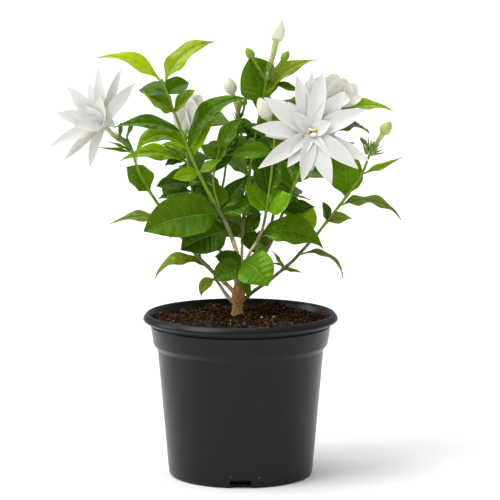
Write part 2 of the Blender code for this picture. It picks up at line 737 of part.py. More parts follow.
def petal_reach(ring, share, out):
    """Half a petal's width as a turn about the axis, up to its part of the ring."""
    half = float(np.interp(share, PETAL_SHARES, PETAL_HALVES)) * ring.width
    return min(pi / ring.count, half / max(out, 1e-6))


def ring_rows(ring):
    """Rows of a ring's petals: two where the petals are one, then those where they are apart."""
    profile = ring_profile(ring)
    widths = [petal_reach(ring, share, out) for share, out, _, _ in profile]
    parting = next(i for i in range(2, len(profile)) if widths[i] < pi / ring.count)
    left = len(profile) - 1 - parting
    apart = [parting + left // 3, parting + 2 * left // 3]
    joined = [parting // 2, parting - 1]
    return [profile[i] for i in joined], [profile[i] for i in apart], profile[-1]


def thickened(front, back, faces):
    """Closed body between two like surfaces: points and faces."""
    shift = len(front)
    sides = {(a, b) for face in faces for a, b in zip(face, face[1:] + face[:1])}
    walls = [(b, a, a + shift, b + shift) for a, b in sorted(sides) if (b, a) not in sides]
    turned_back = [tuple(i + shift for i in reversed(face)) for face in faces]
    return [tuple(point) for point in (*front, *back)], list(faces) + turned_back + walls


def ring_solid(flower, ring, depth):
    """Ring of petals as one closed cup that parts into petals on its way out."""
    axis = unit(flower.faces)
    side = unit(np.cross(axis, UP if abs(axis[2]) < 0.9 else np.array([0.0, 1.0, 0.0])))
    other = np.cross(side, axis)
    joined, apart, tip = ring_rows(ring)
    part = pi / ring.count
    front, back = [], []

    def add(turn, row):
        share, out, high, heading = row
        thick = PETAL_THICK * (1 - 0.5 * share)
        outwards = cos(turn) * side + sin(turn) * other
        normal = cos(heading) * axis - sin(heading) * outwards
        place = np.array(flower.centre) + axis * (high + depth) + outwards * out
        front.append(place + normal * thick / 2)
        back.append(place - normal * thick / 2)
        return len(front) - 1

    hub = add(0.0, (0.0, 0.0, 0.0, 0.0))
    middles, notches, lefts, rights, tips = [], [], [], [], []
    for k in range(ring.count):
        turn = radians(ring.turn) + 2 * part * k
        middles.append([add(turn, row) for row in joined + apart])
        notches.append([add(turn - part, row) for row in joined])
        lefts.append([add(turn - petal_reach(ring, *row[:2]), row) for row in apart])
        rights.append([add(turn + petal_reach(ring, *row[:2]), row) for row in apart])
        tips.append(add(turn, tip))
    faces = []
    for k in range(ring.count):
        middle = middles[k] + [tips[k]]
        left = notches[k] + lefts[k]
        right = notches[(k + 1) % ring.count] + rights[k]
        faces += [(hub, left[0], middle[0]), (hub, middle[0], right[0])]
        for i in range(3):
            faces.append((left[i], left[i + 1], middle[i + 1], middle[i]))
            faces.append((middle[i], middle[i + 1], right[i + 1], right[i]))
        faces += [(left[3], middle[4], middle[3]), (middle[3], middle[4], right[3])]
    return thickened(front, back, faces)


def petal_solids(flower):
    return [ring_solid(flower, ring, RING_STEP * (i - 1)) for i, ring in enumerate(flower.rings)]


def solid_object(name, solid, look):
    mesh = bpy.data.meshes.new(name)
    mesh.from_pydata(solid[0], [], solid[1])
    body = bmesh.new()
    body.from_mesh(mesh)
    bmesh.ops.recalc_face_normals(body, faces=body.faces)
    bmesh.ops.triangulate(body, faces=body.faces)
    body.to_mesh(mesh)
    body.free()
    return mesh_object(name, mesh, look)


def bud_object(name, head, heading, length, width, look):
    """Pointed egg on the end of its stalk."""
    body = bmesh.new()
    bmesh.ops.create_uvsphere(body, u_segments=7, v_segments=5, radius=1.0)
    for vert in body.verts:
        narrow = 1.0 - 0.35 * max(0.0, vert.co.z)
        vert.co = vert.co * Vector((width / 2 * narrow, width / 2 * narrow, length / 2))
    turn = Vector((0, 0, 1)).rotation_difference(Vector(heading)).to_matrix()
    bmesh.ops.rotate(body, verts=body.verts, cent=(0, 0, 0), matrix=turn)
    middle = Vector(head) + Vector(heading) * (length / 2 - 0.0008)
    bmesh.ops.translate(body, verts=body.verts, vec=middle)
    mesh = bpy.data.meshes.new(name)
    body.to_mesh(mesh)
    body.free()
    return mesh_object(name, mesh, look)


def tree_of(points, faces):
    return BVHTree.FromPolygons([tuple(point) for point in points], faces)


def seen_from_front(point):
    """Where a point appears in the plane through the trunk, as X and Z."""
    share = -VIEWPOINT[1] / (point[1] - VIEWPOINT[1])
    seen = VIEWPOINT + (np.asarray(point) - VIEWPOINT) * share
    return seen[0], seen[2]


def inside(seen, ellipse):
    (x, z), (wide, high) = ellipse
    return ((seen[0] - x) / wide) ** 2 + ((seen[1] - z) / high) ** 2 < 1.0


def keeps_to_crown(points):
    for point in points:
        seen = seen_from_front(point)
        if not any(inside(seen, part) for part in CROWN):
            return False
        if any(inside(seen, window) for window in WINDOWS):
            return False
    return True


def tube_solid(path, radii, sides=6):
    """Plain tube about a path, for finding what a leaf would touch: points and faces."""
    points, faces = [], []
    for i, place in enumerate(path):
        heading = unit(path[min(i + 1, len(path) - 1)] - path[max(i - 1, 0)])
        side = unit(np.cross(heading, (0.3, 0.9, 0.1)))
        other = np.cross(heading, side)
        for k in range(sides):
            turn = 2 * pi * k / sides
            points.append(tuple(place + radii[i] * (cos(turn) * side + sin(turn) * other)))
    for i in range(len(path) - 1):
        for k in range(sides):
            a, b = sides * i + k, sides * i + (k + 1) % sides
            faces.append((a, b, b + sides, a + sides))
    return points, faces


def flower_tube(flower, paths):
    foot, heading = along(paths[flower.grows_from], 1.0)
    return smooth_path([foot - heading * 0.001, flower.bend, flower.centre], heading, steps=3)


def bud_stalk(bud, paths):
    foot, heading = along(paths[bud.grows_from], bud.place)
    return smooth_path([foot - heading * 0.001, bud.bend, bud.head], heading, steps=3)


def shown_leaf(leaf, paths, wider=0.0):
    outline = LONG_LEAF_STATIONS if leaf.length > LONG_LEAF else LEAF_STATIONS
    return leaf_solid(paths[leaf.shoot], leaf, np.array([0.0, -1.0, 0.0]), outline, wider)


def rule_leaf(leaf, paths, wider=0.0):
    """Leaf of the rule, which turns its face away from the middle of the crown."""
    place = along(paths[leaf.shoot], leaf.place)[0]
    return leaf_solid(paths[leaf.shoot], leaf, unit(place * (1, 1, 0)), PLAIN_STATIONS, wider)


def taken_space(paths):
    """Trees of everything that is placed by hand, by mass or limb, each a gap wider than it is."""
    taken = {}
    stations = smooth_path(TRUNK_STATIONS, steps=2)
    taken["trunk"] = [tree_of(*tube_solid(stations[:, :3], stations[:, 3] + GAP))]
    for name, plan in BOUGHS.items():
        taken[name] = [tree_of(*tube_solid(paths[name], taper(paths[name], plan.thick, plan.thin) + GAP))]
    for name, plan in SHOOTS.items():
        tube = tube_solid(paths[name], taper(paths[name], plan.thick, plan.thin) + GAP)
        taken.setdefault(plan.mass, []).append(tree_of(*tube))
    for flower in FLOWERS.values():
        trees = taken[SHOOTS[flower.grows_from].mass]
        tube = flower_tube(flower, paths)
        trees.append(tree_of(*tube_solid(tube, taper(tube, TUBE_THIN, TUBE_THICK) + GAP)))
        trees += [tree_of(*petal) for petal in petal_solids(flower)]
    for bud in BUDS.values():
        stalk = bud_stalk(bud, paths)
        head = stalk[-1] + unit(stalk[-1] - stalk[-2]) * bud.length
        reach = np.linspace(stalk[-1], head, 4)
        trees = taken[SHOOTS[bud.grows_from].mass]
        trees.append(tree_of(*tube_solid(stalk, taper(stalk, bud.stalk, bud.stalk) + GAP)))
        trees.append(tree_of(*tube_solid(reach, np.array((0.6, 1.0, 0.8, 0.2)) * bud.width / 2 + GAP)))
    return taken


def touches(solid, mass, taken):
    tree = tree_of(*solid)
    others = [other for owner, trees in taken.items() if owner != mass for other in trees]
    return any(tree.overlap(other) for other in others)


def plan_leaves(paths):
    """Every leaf that has room: those that show, then opposite pairs by the rule, by shoot."""
    draw = random.Random(SEED)
    taken = taken_space(paths)
    planned = {name: [] for name in SHOOTS}
    for leaf in LEAVES:
        mass = SHOOTS[leaf.shoot].mass
        if touches(shown_leaf(leaf, paths, GAP), mass, taken):
            continue
        taken[mass].append(tree_of(*shown_leaf(leaf, paths)))
        planned[leaf.shoot].append((leaf, shown_leaf))
    for name, (first, last) in RULE_SHOOTS.items():
        length = np.linalg.norm(np.diff(paths[name], axis=0), axis=1).sum()
        count = max(1, round((last - first) * length / PAIR_SPACING))
        turn = draw.uniform(0, 180)
        for k in range(count + 1):
            for side in (0, 180):
                for _ in range(TRIES):
                    leaf = Leaf(
                        shoot=name,
                        place=first + (last - first) * k / count,
                        azimuth=turn + 90 * k + side + draw.uniform(-25, 25),
                        rise=draw.uniform(*PAIR_RISE),
                        droop=draw.uniform(*PAIR_DROOP),
                        length=draw.uniform(*PAIR_LENGTH),
                        lean=PAIR_LEAN,
                        ratio=draw.uniform(*PAIR_RATIO),
                    )
                    solid = rule_leaf(leaf, paths, GAP)
                    if keeps_to_crown(solid[0]) and not touches(solid, SHOOTS[name].mass, taken):
                        taken[SHOOTS[name].mass].append(tree_of(*rule_leaf(leaf, paths)))
                        planned[name].append((leaf, rule_leaf))
                        break
    return planned


def make_mass(mass, paths, planned):
    """One mass of foliage: its stem joined with its shoots, leaves, flowers and buds."""
    green = material(mass + "_leaf", LEAF_GREEN)
    pieces = []
    names = [name for name, plan in SHOOTS.items() if plan.mass == mass]
    for name in names:
        plan = SHOOTS[name]
        radii = taper(paths[name], plan.thick, plan.thin)
        pieces.append(limb(name, paths[name], radii, green, roundness=0))
        for leaf, solid in planned[name]:
            pieces.append(solid_object(name + "_leaf", solid(leaf, paths), green))
    for name, flower in FLOWERS.items():
        if flower.grows_from in names:
            tube = flower_tube(flower, paths)
            pieces.append(limb(name, tube, taper(tube, TUBE_THIN, TUBE_THICK), green, roundness=0))
            pieces += [solid_object(name + "_petal", solid, green) for solid in petal_solids(flower)]
    for name, bud in BUDS.items():
        if bud.grows_from in names:
            stalk = bud_stalk(bud, paths)
            pieces.append(limb(name, stalk, taper(stalk, bud.stalk, bud.stalk), green, roundness=0))
            heading = unit(stalk[-1] - stalk[-2])
            pieces.append(bud_object(name, stalk[-1], heading, bud.length, bud.width, green))
    return join_mass(mass, pieces[0], pieces[1:])


def is_sound(mesh):
    """Whether every edge has two faces once points that lie closer than a tenth of a micron are one."""
    places = [tuple(round(value * 1e7) for value in vert.co) for vert in mesh.vertices]
    uses = {}
    for face in mesh.polygons:
        corners = [places[i] for i in face.vertices]
        for a, b in zip(corners, corners[1:] + corners[:1]):
            if a != b:
                uses[frozenset((a, b))] = uses.get(frozenset((a, b)), 0) + 1
    return all(count == 2 for count in uses.values())


def join_mass(mass, stem, pieces):
    """Unites the pieces with the stem, with the second solver where the first leaves an open edge."""
    holder = bpy.data.collections.new(mass + "_pieces")
    bpy.context.scene.collection.children.link(holder)
    for piece in pieces:
        bpy.context.scene.collection.objects.unlink(piece)
        holder.objects.link(piece)
    union = add_boolean(stem, "UNION", pieces=holder)
    joined = keep_largest(evaluated_mesh(stem))
    if not is_sound(joined):
        union.solver = "MANIFOLD"
        joined = keep_largest(evaluated_mesh(stem))
    stem.modifiers.clear()
    stem.data = joined
    stem.name = mass
    stem.data.name = mass
    for piece in pieces:
        bpy.data.objects.remove(piece)
    bpy.data.collections.remove(holder)
    return stem


def gather(parts):
    """Moves the parts to their own collection and shades the round ones smooth."""
    plant = bpy.data.collections.new(OBJECT_NAME)
    bpy.context.scene.collection.children.link(plant)
    for part in parts:
        bpy.context.scene.collection.objects.unlink(part)
        plant.objects.link(part)
        part.data.shade_smooth()
        part.data.set_sharp_from_angle(angle=radians(40))


def main():
    clear_scene()
    trunk, clearance = make_trunk()
    boughs, bough_paths = make_boughs(clearance)
    paths = shoot_paths(bough_paths)
    planned = plan_leaves(paths)
    names = dict.fromkeys(plan.mass for plan in SHOOTS.values())
    masses = [make_mass(name, paths, planned) for name in names]
    gather([make_pot(), make_soil(), trunk, *boughs.values(), *masses])


main()
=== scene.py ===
"""The dressed potted Belle of India jasmine: fine leaves, flowers, bark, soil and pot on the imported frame."""

import random
from collections import namedtuple
from math import cos, pi, radians, sin

import bpy
import numpy as np
from mathutils.bvhtree import BVHTree
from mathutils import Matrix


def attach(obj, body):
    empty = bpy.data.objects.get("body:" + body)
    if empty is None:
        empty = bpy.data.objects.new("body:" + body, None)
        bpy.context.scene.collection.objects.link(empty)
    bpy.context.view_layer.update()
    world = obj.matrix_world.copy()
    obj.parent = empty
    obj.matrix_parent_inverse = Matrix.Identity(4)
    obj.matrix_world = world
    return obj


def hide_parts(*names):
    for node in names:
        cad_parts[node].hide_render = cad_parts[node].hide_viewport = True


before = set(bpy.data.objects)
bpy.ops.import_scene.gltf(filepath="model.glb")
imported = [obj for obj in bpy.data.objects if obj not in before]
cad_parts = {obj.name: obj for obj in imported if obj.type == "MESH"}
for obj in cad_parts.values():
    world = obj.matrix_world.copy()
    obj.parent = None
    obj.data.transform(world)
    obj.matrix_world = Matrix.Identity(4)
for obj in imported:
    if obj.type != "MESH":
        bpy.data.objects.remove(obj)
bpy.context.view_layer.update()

GAP = 0.0003
SEED = 11
UP = np.array([0.0, 0.0, 1.0])
FRONT = np.array([0.0, -1.0, 0.0])

# Pot: a 13 cm nursery pot with a rolled lip, a collar, a tapering wall and four drain notches at its foot
POT_HEIGHT = 0.109
LIP_RADIUS = 0.0651
MOUTH_RADIUS = 0.0610
LIP_FOOT = 0.1035
COLLAR_RADIUS = 0.0598
COLLAR_FOOT_RADIUS = 0.0582
COLLAR_FOOT = 0.0885
SHOULDER_RADIUS = 0.0554
SHOULDER = 0.0850
FOOT_RADIUS = 0.0482
FOOT_ROUND = 0.0022
WALL = 0.0013
FLOOR = 0.0018
NOTCH_COUNT = 4

# Soil: level round the trunk, with a mound behind it on the right
LEVEL_RADIUS = 0.008
MOUND_PLACE = (0.022, 0.046)
MOUND_RADIUS = 0.017
MOUND_HEIGHT = 0.0030

# Trunk: places and radii of its stations, from the flat cut at the soil to the fork
TRUNK_FOOT = 0.1069
TRUNK_STATIONS = (
    (-0.0020, 0.0, TRUNK_FOOT, 0.0041),
    (-0.0020, 0.0, 0.1090, 0.0035),
    (-0.0018, 0.0, 0.1148, 0.0046),
    (-0.0016, -0.0002, 0.1190, 0.0035),
    (-0.0008, -0.0006, 0.1290, 0.0031),
    (-0.0001, -0.0010, 0.1390, 0.0027),
)

# Boughs: foot in the trunk, bend, tip, then the radius at the foot and at the tip
Bough = namedtuple("Bough", "foot bend tip thick thin")
BOUGHS = {
    "bough_top_left": Bough(
        (-0.0006, -0.0015, 0.1365), (-0.0024, -0.004, 0.149), (-0.005, -0.006, 0.158), 0.0015, 0.0015
    ),
    "bough_top_right": Bough(
        (0.0008, -0.0018, 0.1365), (0.0057, -0.005, 0.149), (0.0105, -0.008, 0.157), 0.0011, 0.0010
    ),
    "bough_back_centre": Bough(
        (0.0002, 0.0008, 0.1365), (0.0008, 0.007, 0.147), (0.001, 0.012, 0.155), 0.0011, 0.0010
    ),
    "bough_right_mid": Bough(
        (0.0005, 0.001, 0.128), (0.0085, 0.0055, 0.136), (0.0155, 0.008, 0.146), 0.0010, 0.0009
    ),
    "bough_left": Bough(
        (-0.0010, 0.0, 0.1175), (-0.0075, -0.001, 0.126), (-0.0175, -0.002, 0.1355), 0.0015, 0.0013
    ),
    "bough_left_foot": Bough(
        (-0.0015, -0.001, 0.1125), (-0.0090, -0.0045, 0.121), (-0.0135, -0.0065, 0.128), 0.0015, 0.0011
    ),
    "bough_right_low": Bough(
        (-0.0015, -0.001, 0.1135), (0.007, -0.001, 0.122), (0.018, 0.0, 0.1295), 0.0013, 0.0011
    ),
    "bough_back_left": Bough(
        (-0.0008, 0.001, 0.126), (-0.0075, 0.016, 0.136), (-0.014, 0.030, 0.146), 0.0014, 0.0012
    ),
    "bough_back_right": Bough(
        (0.0, 0.0015, 0.1225), (0.008, 0.018, 0.132), (0.0145, 0.033, 0.142), 0.0014, 0.0012
    ),
}

# Shoots: a mass has one stem, on a bough's tip or the trunk's side, and the shoots that branch from it
Shoot = namedtuple("Shoot", "mass grows_from bend tip thick thin")
SHOOTS = {
    "top_left": Shoot(
        "foliage_top_left", "bough_top_left",
        (-0.0285, -0.014, 0.206), (-0.051, -0.024, 0.266), 0.0015, 0.0007
    ),
    "inner": Shoot(
        "foliage_top_left", ("top_left", 0.17),
        (-0.018, -0.011, 0.198), (-0.014, -0.012, 0.219), 0.0008, 0.0006
    ),
    "centre_right": Shoot(
        "foliage_centre_right", "bough_top_right",
        (0.0187, -0.013, 0.192), (0.0227, -0.009, 0.229), 0.0010, 0.0007
    ),
    "top_centre": Shoot(
        "foliage_top_centre", "bough_back_centre",
        (0.0075, 0.010, 0.212), (0.0175, 0.003, 0.265), 0.0012, 0.0008
    ),
    "bud_centre": Shoot(
        "foliage_top_centre", ("top_centre", 0.36),
        (0.0025, 0.014, 0.215), (-0.0015, 0.015, 0.236), 0.0008, 0.0007
    ),
    "right_flower": Shoot(
        "foliage_right_flower", "bough_right_mid",
        (0.030, 0.002, 0.181), (0.043, -0.020, 0.216), 0.0010, 0.0010
    ),
    "right_back": Shoot(
        "foliage_right_flower", ("right_flower", 0.68),
        (0.054, 0.006, 0.216), (0.064, 0.012, 0.242), 0.0009, 0.0008
    ),
    "left": Shoot(
        "foliage_left", "bough_left",
        (-0.0610, -0.0075, 0.1925), (-0.072, -0.008, 0.220), 0.0013, 0.0009
    ),
    "left_inner": Shoot(
        "foliage_left", ("left", 0.13),
        (-0.031, 0.009, 0.180), (-0.0365, 0.018, 0.216), 0.0009, 0.0007
    ),
    "left_foot": Shoot(
        "foliage_left_foot", "bough_left_foot",
        (-0.0160, -0.0075, 0.1315), (-0.0175, -0.008, 0.1335), 0.0010, 0.0008
    ),
    "right": Shoot(
        "foliage_right", "bough_right_low",
        (0.0730, 0.000, 0.1905), (0.086, -0.002, 0.2165), 0.0011, 0.0008
    ),
    "fork": Shoot(
        "foliage_fork", "trunk",
        (0.0008, -0.0085, 0.140), (0.0012, -0.0115, 0.1450), 0.0008, 0.0007
    ),
    "back_left": Shoot(
        "foliage_back_left", "bough_back_left",
        (-0.020, 0.044, 0.172), (-0.027, 0.058, 0.205), 0.0012, 0.0008
    ),
    "back_left_low": Shoot(
        "foliage_back_left", ("back_left", 0.20),
        (-0.030, 0.052, 0.164), (-0.040, 0.064, 0.176), 0.0009, 0.0007
    ),
    "back_left_out": Shoot(
        "foliage_back_left", ("back_left", 0.45),
        (-0.013, 0.062, 0.185), (-0.010, 0.074, 0.203), 0.0009, 0.0007
    ),
    "back_right": Shoot(
        "foliage_back_right", "bough_back_right",
        (0.022, 0.046, 0.168), (0.031, 0.058, 0.206), 0.0012, 0.0008
    ),
    "back_right_low": Shoot(
        "foliage_back_right", ("back_right", 0.22),
        (0.034, 0.052, 0.158), (0.048, 0.060, 0.168), 0.0009, 0.0007
    ),
    "back_right_out": Shoot(
        "foliage_back_right", ("back_right", 0.45),
        (0.015, 0.064, 0.182), (0.012, 0.078, 0.200), 0.0009, 0.0007
    ),
    "back_right_top": Shoot(
        "foliage_back_right", ("back_right", 0.70),
        (0.042, 0.045, 0.215), (0.049, 0.038, 0.234), 0.0008, 0.0006
    ),
}

# Leaves that show, by shoot: place along it, the way they head and rise in degrees, how far they bend down,
# length, how far the blade turns its face to the front, its width against its length, and its green
Leaf = namedtuple("Leaf", "shoot place azimuth rise droop length lean ratio look")
# Each listed leaf's green follows how light or dark that leaf shows where it hangs: partly its own tone, partly
# painted light and shade
LEAVES = {
    "top_left": (
        (0.970, 180, 47, 60, 0.0490, 32, 0.27, "young"),
        (0.965, 0, 68, 68, 0.0470, 46, 0.30, "pale"),
        (0.91, 155, 20, 35, 0.0215, 30, 0.76, "mid"),
        (0.91, 25, 40, 40, 0.0175, 45, 0.80, "mid"),
        (0.80, 190, 38, 8, 0.0255, 38, 0.72, "lime"),
        (0.80, -15, 50, 8, 0.0205, 38, 0.72, "lime"),
        (0.68, 183, 24, 46, 0.0460, 35, 0.27, "mid"),
        (0.57, -8, 78, 90, 0.0590, 50, 0.25, "mid"),
        (0.56, 178, 55, 155, 0.0500, 40, 0.26, "lime"),
        (0.52, 20, 79, 55, 0.0335, 60, 0.28, "lime"),
        (0.43, 195, -4, 10, 0.0180, 60, 0.52, "lime"),
        (0.43, -8, 34, 5, 0.0180, 40, 0.50, "lime"),
        (0.17, 200, 1, 26, 0.0550, 60, 0.53, "mid"),
        (0.165, 10, 26, 15, 0.0290, 55, 0.48, "mid"),
        (0.175, 30, 52, 12, 0.0335, 50, 0.40, "dark"),
        (0.06, 200, -8, 25, 0.0360, 65, 0.66, "dark"),
    ),
    "inner": (
        (0.99, -5, 62, 20, 0.0250, 60, 0.50, "bright"),
        (0.85, 188, 42, 5, 0.0145, 45, 0.75, "bright"),
        (0.85, -8, 56, 5, 0.0125, 45, 0.85, "bright"),
        (0.62, 25, 58, 8, 0.0350, 50, 0.36, "dark"),
        (0.10, 110, 75, 5, 0.0160, 0, 0.85, "mid"),
    ),
    "centre_right": (
        (0.03, 60, -75, 5, 0.0200, 30, 0.55, "mid"),
        (0.07, -4, 20, 74, 0.0465, 50, 0.46, "mid"),
        (0.31, 188, 52, 5, 0.0220, 48, 0.80, "fresh"),
        (0.31, -8, 34, 5, 0.0200, 50, 0.90, "fresh"),
        (0.45, 140, 78, 5, 0.0300, 30, 0.62, "dark"),
        (0.45, 60, 72, 10, 0.0270, 30, 0.50, "mid"),
        (0.84, 182, 6, 25, 0.0305, 60, 0.38, "bright"),
    ),
    "top_centre": (
        (0.84, -160, 78, 6, 0.0330, 80, 0.94, "bright"),
        (0.88, 5, 58, 55, 0.0455, 40, 0.26, "pale"),
        (0.97, 0, -8, 15, 0.0280, 40, 0.22, "mid"),
        (0.62, 165, 62, 22, 0.0180, 50, 0.42, "dark"),
        (0.04, 40, 45, 20, 0.0220, 50, 0.50, "mid"),
        (0.05, -20, -35, 20, 0.0220, 50, 0.55, "dark"),
        (0.05, 195, 20, 40, 0.0200, 50, 0.60, "mid"),
    ),
    "right_flower": (
        (0.70, 5, 36, 0, 0.0180, 55, 0.38, "grey"),
        (0.58, 0, -12, 8, 0.0145, 20, 0.16, "olive"),
        (0.42, -5, 14, 20, 0.0220, 60, 0.45, "dark"),
        (0.40, -10, 10, 115, 0.0270, 60, 0.62, "lime"),
        (0.66, 120, 55, 10, 0.0210, 30, 0.60, "mid"),
        (0.86, -110, 5, 30, 0.0200, 30, 0.50, "mid"),
    ),
    "right_back": (
        (1.0, 0, 22, 50, 0.0390, 35, 0.24, "lime"),
        (0.88, 178, 29, 25, 0.0430, 35, 0.36, "bright"),
    ),
    "left": (
        (0.06, 180, 30, 103, 0.0420, 30, 0.27, "olive"),
        (0.45, 180, 17, 46, 0.0410, 30, 0.22, "grey"),
        (0.69, 178, 50, 8, 0.0220, 34, 0.98, "bright"),
        (0.97, 180, 8, 0, 0.0220, 30, 0.15, "olive"),
        (0.97, 178, 28, 10, 0.0170, 30, 0.20, "lime"),
    ),
    "left_inner": (
        (0.99, 185, 30, 40, 0.0190, 40, 0.32, "lime"),
        (0.88, 180, 28, 62, 0.0480, 45, 0.24, "lime"),
        (0.93, 185, -5, 35, 0.0170, 45, 0.50, "dark"),
        (0.68, 190, 12, 32, 0.0240, 50, 0.52, "dark"),
        (0.62, 185, 0, 28, 0.0240, 45, 0.45, "bright"),
        (0.68, -10, -24, 14, 0.0220, 50, 0.55, "dark"),
    ),
    "left_foot": (
        (0.90, 190, -18, 80, 0.0165, 50, 0.48, "olive"),
    ),
    "fork": (
        (1.0, -45, -10, 50, 0.0285, 70, 0.85, "bright"),
        (0.8, -155, -12, 30, 0.0230, 60, 0.66, "mid"),
        (0.7, 165, 30, 30, 0.0200, 60, 0.60, "dark"),
        (0.3, -35, -62, 10, 0.0190, 30, 0.38, "bright"),
    ),
    "right": (
        (0.12, 172, 60, 5, 0.0140, 30, 0.26, "olive"),
        (0.14, 182, 18, 5, 0.0110, 20, 0.18, "olive"),
        (0.12, -5, -8, 5, 0.0125, 30, 0.28, "olive"),
        (0.25, 0, 14, 102, 0.0390, 20, 0.18, "grey"),
        (0.505, -165, 80, 10, 0.0135, 50, 0.75, "dark"),
        (0.505, -10, 20, 28, 0.0175, 50, 0.50, "grey"),
        (0.69, 95, 82, 5, 0.0335, 0, 0.64, "bright"),
        (0.63, 0, 20, 80, 0.0462, 30, 0.22, "grey"),
        (0.86, 0, 16, -16, 0.0285, 30, 0.22, "lime"),
    ),
}

# Rule for the leaves behind: opposite pairs, each turned a quarter from the last
PAIR_SPACING = 0.0085
PAIR_LENGTH = (0.028, 0.040)
PAIR_RISE = (5, 50)
PAIR_DROOP = (35, 85)
PAIR_LEAN = 50
PAIR_RATIO = (0.45, 0.62)
PAIR_SWAY = 25
TRIES = 10
REAR_LOOKS = ("mid", "mid", "mid", "dark", "dark", "bright", "bright", "lime")
RULE_SHOOTS = {
    "inner": (0.30, 0.75),
    "top_centre": (0.08, 0.78),
    "bud_centre": (0.30, 0.80),
    "centre_right": (0.38, 0.95),
    "right_flower": (0.15, 0.80),
    "right_back": (0.20, 0.70),
    "left_inner": (0.20, 0.60),
    "back_left": (0.15, 1.0),
    "back_left_low": (0.45, 1.0),
    "back_left_out": (0.45, 1.0),
    "back_right": (0.15, 1.0),
    "back_right_low": (0.45, 1.0),
    "back_right_out": (0.45, 1.0),
    "back_right_top": (0.50, 1.0),
}

# Crown as seen from the front: leaves of the rule stay in these ellipses and out of the open windows
VIEWPOINT = np.array([0.006, -1.6, 0.368])
CROWN = (
    ((-0.012, 0.190), (0.052, 0.052)),
    ((0.050, 0.215), (0.040, 0.042)),
    ((0.004, 0.232), (0.028, 0.030)),
)
FRONT_DEPTH = -0.002
FRONT_AREA = ((0.003, 0.195), (0.036, 0.042))
WINDOWS = (
    ((-0.0177, 0.2296), (0.0040, 0.0055)),
    ((-0.0095, 0.1975), (0.0080, 0.0065)),
    ((0.0210, 0.1760), (0.0055, 0.0055)),
    ((-0.0330, 0.1880), (0.0070, 0.0050)),
    ((-0.0220, 0.1460), (0.0120, 0.0120)),
    ((0.0260, 0.1460), (0.0120, 0.0160)),
    ((0.0545, 0.1870), (0.0100, 0.0130)),
    ((-0.0560, 0.2020), (0.0080, 0.0120)),
    ((0.0045, 0.2480), (0.0085, 0.0080)),
)

# Flowers: the shoot they end, the bend and the centre, and the way they face
Flower = namedtuple("Flower", "grows_from bend centre faces")
FLOWERS = {
    "flower_left": Flower(
        "left", (-0.084, -0.010, 0.229), (-0.0895, -0.012, 0.2355), (-0.78, -0.40, 0.48),
    ),
    "flower_right": Flower(
        "right_flower", (0.0445, -0.027, 0.224), (0.0458, -0.036, 0.232), (0.06, -0.96, 0.26),
    ),
    "flower_back": Flower(
        "right_back", (0.063, 0.0135, 0.245), (0.0610, 0.014, 0.2475), (0.05, -0.20, 0.97),
    ),
    "flower_half_open": Flower(
        "left_inner", (-0.038, 0.021, 0.223), (-0.0375, 0.024, 0.229), (0.18, 0.0, 0.98),
    ),
}
TUBE_THIN = 0.0010
TUBE_THICK = 0.0017

# Buds: the shoot and place they grow from, the bend and head of the stalk, and the bud's length and width
Bud = namedtuple("Bud", "grows_from place bend head length width stalk")
BUDS = {
    "bud_top": Bud(
        "top_centre", 1.0, (0.0214, 0.003, 0.280), (0.0234, 0.003, 0.289), 0.0158, 0.0100, 0.0015
    ),
    "bud_top_left": Bud(
        "top_centre", 0.97, (0.0115, 0.002, 0.272), (0.0080, 0.002, 0.278), 0.0085, 0.0060, 0.0009
    ),
    "bud_top_right": Bud(
        "top_centre", 1.0, (0.0250, 0.001, 0.273), (0.0275, 0.0, 0.2765), 0.0082, 0.0056, 0.0009
    ),
    "bud_left": Bud(
        "bud_centre", 0.9, (-0.0024, 0.014, 0.244), (-0.0054, 0.013, 0.254), 0.0125, 0.0088, 0.0011
    ),
    "bud_small": Bud(
        "bud_centre", 1.0, (0.0015, 0.015, 0.241), (0.0025, 0.015, 0.246), 0.0060, 0.0034, 0.0006
    ),
    "bud_twin": Bud(
        "bud_centre", 0.9, (-0.0012, 0.014, 0.240), (-0.0008, 0.013, 0.2445), 0.0070, 0.0040, 0.0008
    ),
    "bud_centre": Bud(
        "centre_right", 1.0, (0.0212, -0.009, 0.233), (0.0185, -0.009, 0.239), 0.0160, 0.0098, 0.0012
    ),
    "bud_right": Bud(
        "right", 1.0, (0.0895, -0.003, 0.222), (0.0935, -0.004, 0.2285), 0.0105, 0.0078, 0.0013
    ),
    "bud_right_small": Bud(
        "right", 1.0, (0.0845, -0.003, 0.2195), (0.0825, -0.003, 0.222), 0.0060, 0.0030, 0.0006
    ),
    "bud_left_small": Bud(
        "left", 0.98, (-0.0745, -0.008, 0.226), (-0.0735, -0.008, 0.230), 0.0080, 0.0032, 0.0006
    ),
    "bud_left_twin": Bud(
        "left", 0.99, (-0.0785, -0.008, 0.225), (-0.0790, -0.008, 0.229), 0.0080, 0.0032, 0.0006
    ),
}


def unit(vector):
    vector = np.asarray(vector, float)
    return vector / np.linalg.norm(vector)


def smooth_path(points, start=None, steps=4):
    """Curve through the points, leaving the first one along start."""
    points = [np.asarray(point, float) for point in points]
    before = 2 * points[0] - points[1]
    if start is not None:
        before = points[1] - 2 * unit(start)[: len(points[0])] * np.linalg.norm(points[1] - points[0])
    points = [before] + points + [2 * points[-1] - points[-2]]
    path = []
    for i in range(1, len(points) - 2):
        a, b, c, d = points[i - 1 : i + 3]
        for k in range(steps):
            t = k / steps
            path.append(
                b + 0.5 * t * (c - a + t * (2 * a - 5 * b + 4 * c - d + t * (3 * (b - c) + d - a)))
            )
    path.append(points[-2])
    return np.array(path)


def along(path, place):
    """Point and heading at a share of the path's length."""
    sides = np.diff(path, axis=0)
    lengths = np.linalg.norm(sides, axis=1)
    reached = np.concatenate([[0.0], np.cumsum(lengths)])
    wanted = place * reached[-1]
    i = min(max(int(np.searchsorted(reached, wanted)) - 1, 0), len(sides) - 1)
    share = (wanted - reached[i]) / lengths[i]
    return path[i] + sides[i] * share, unit(sides[i])


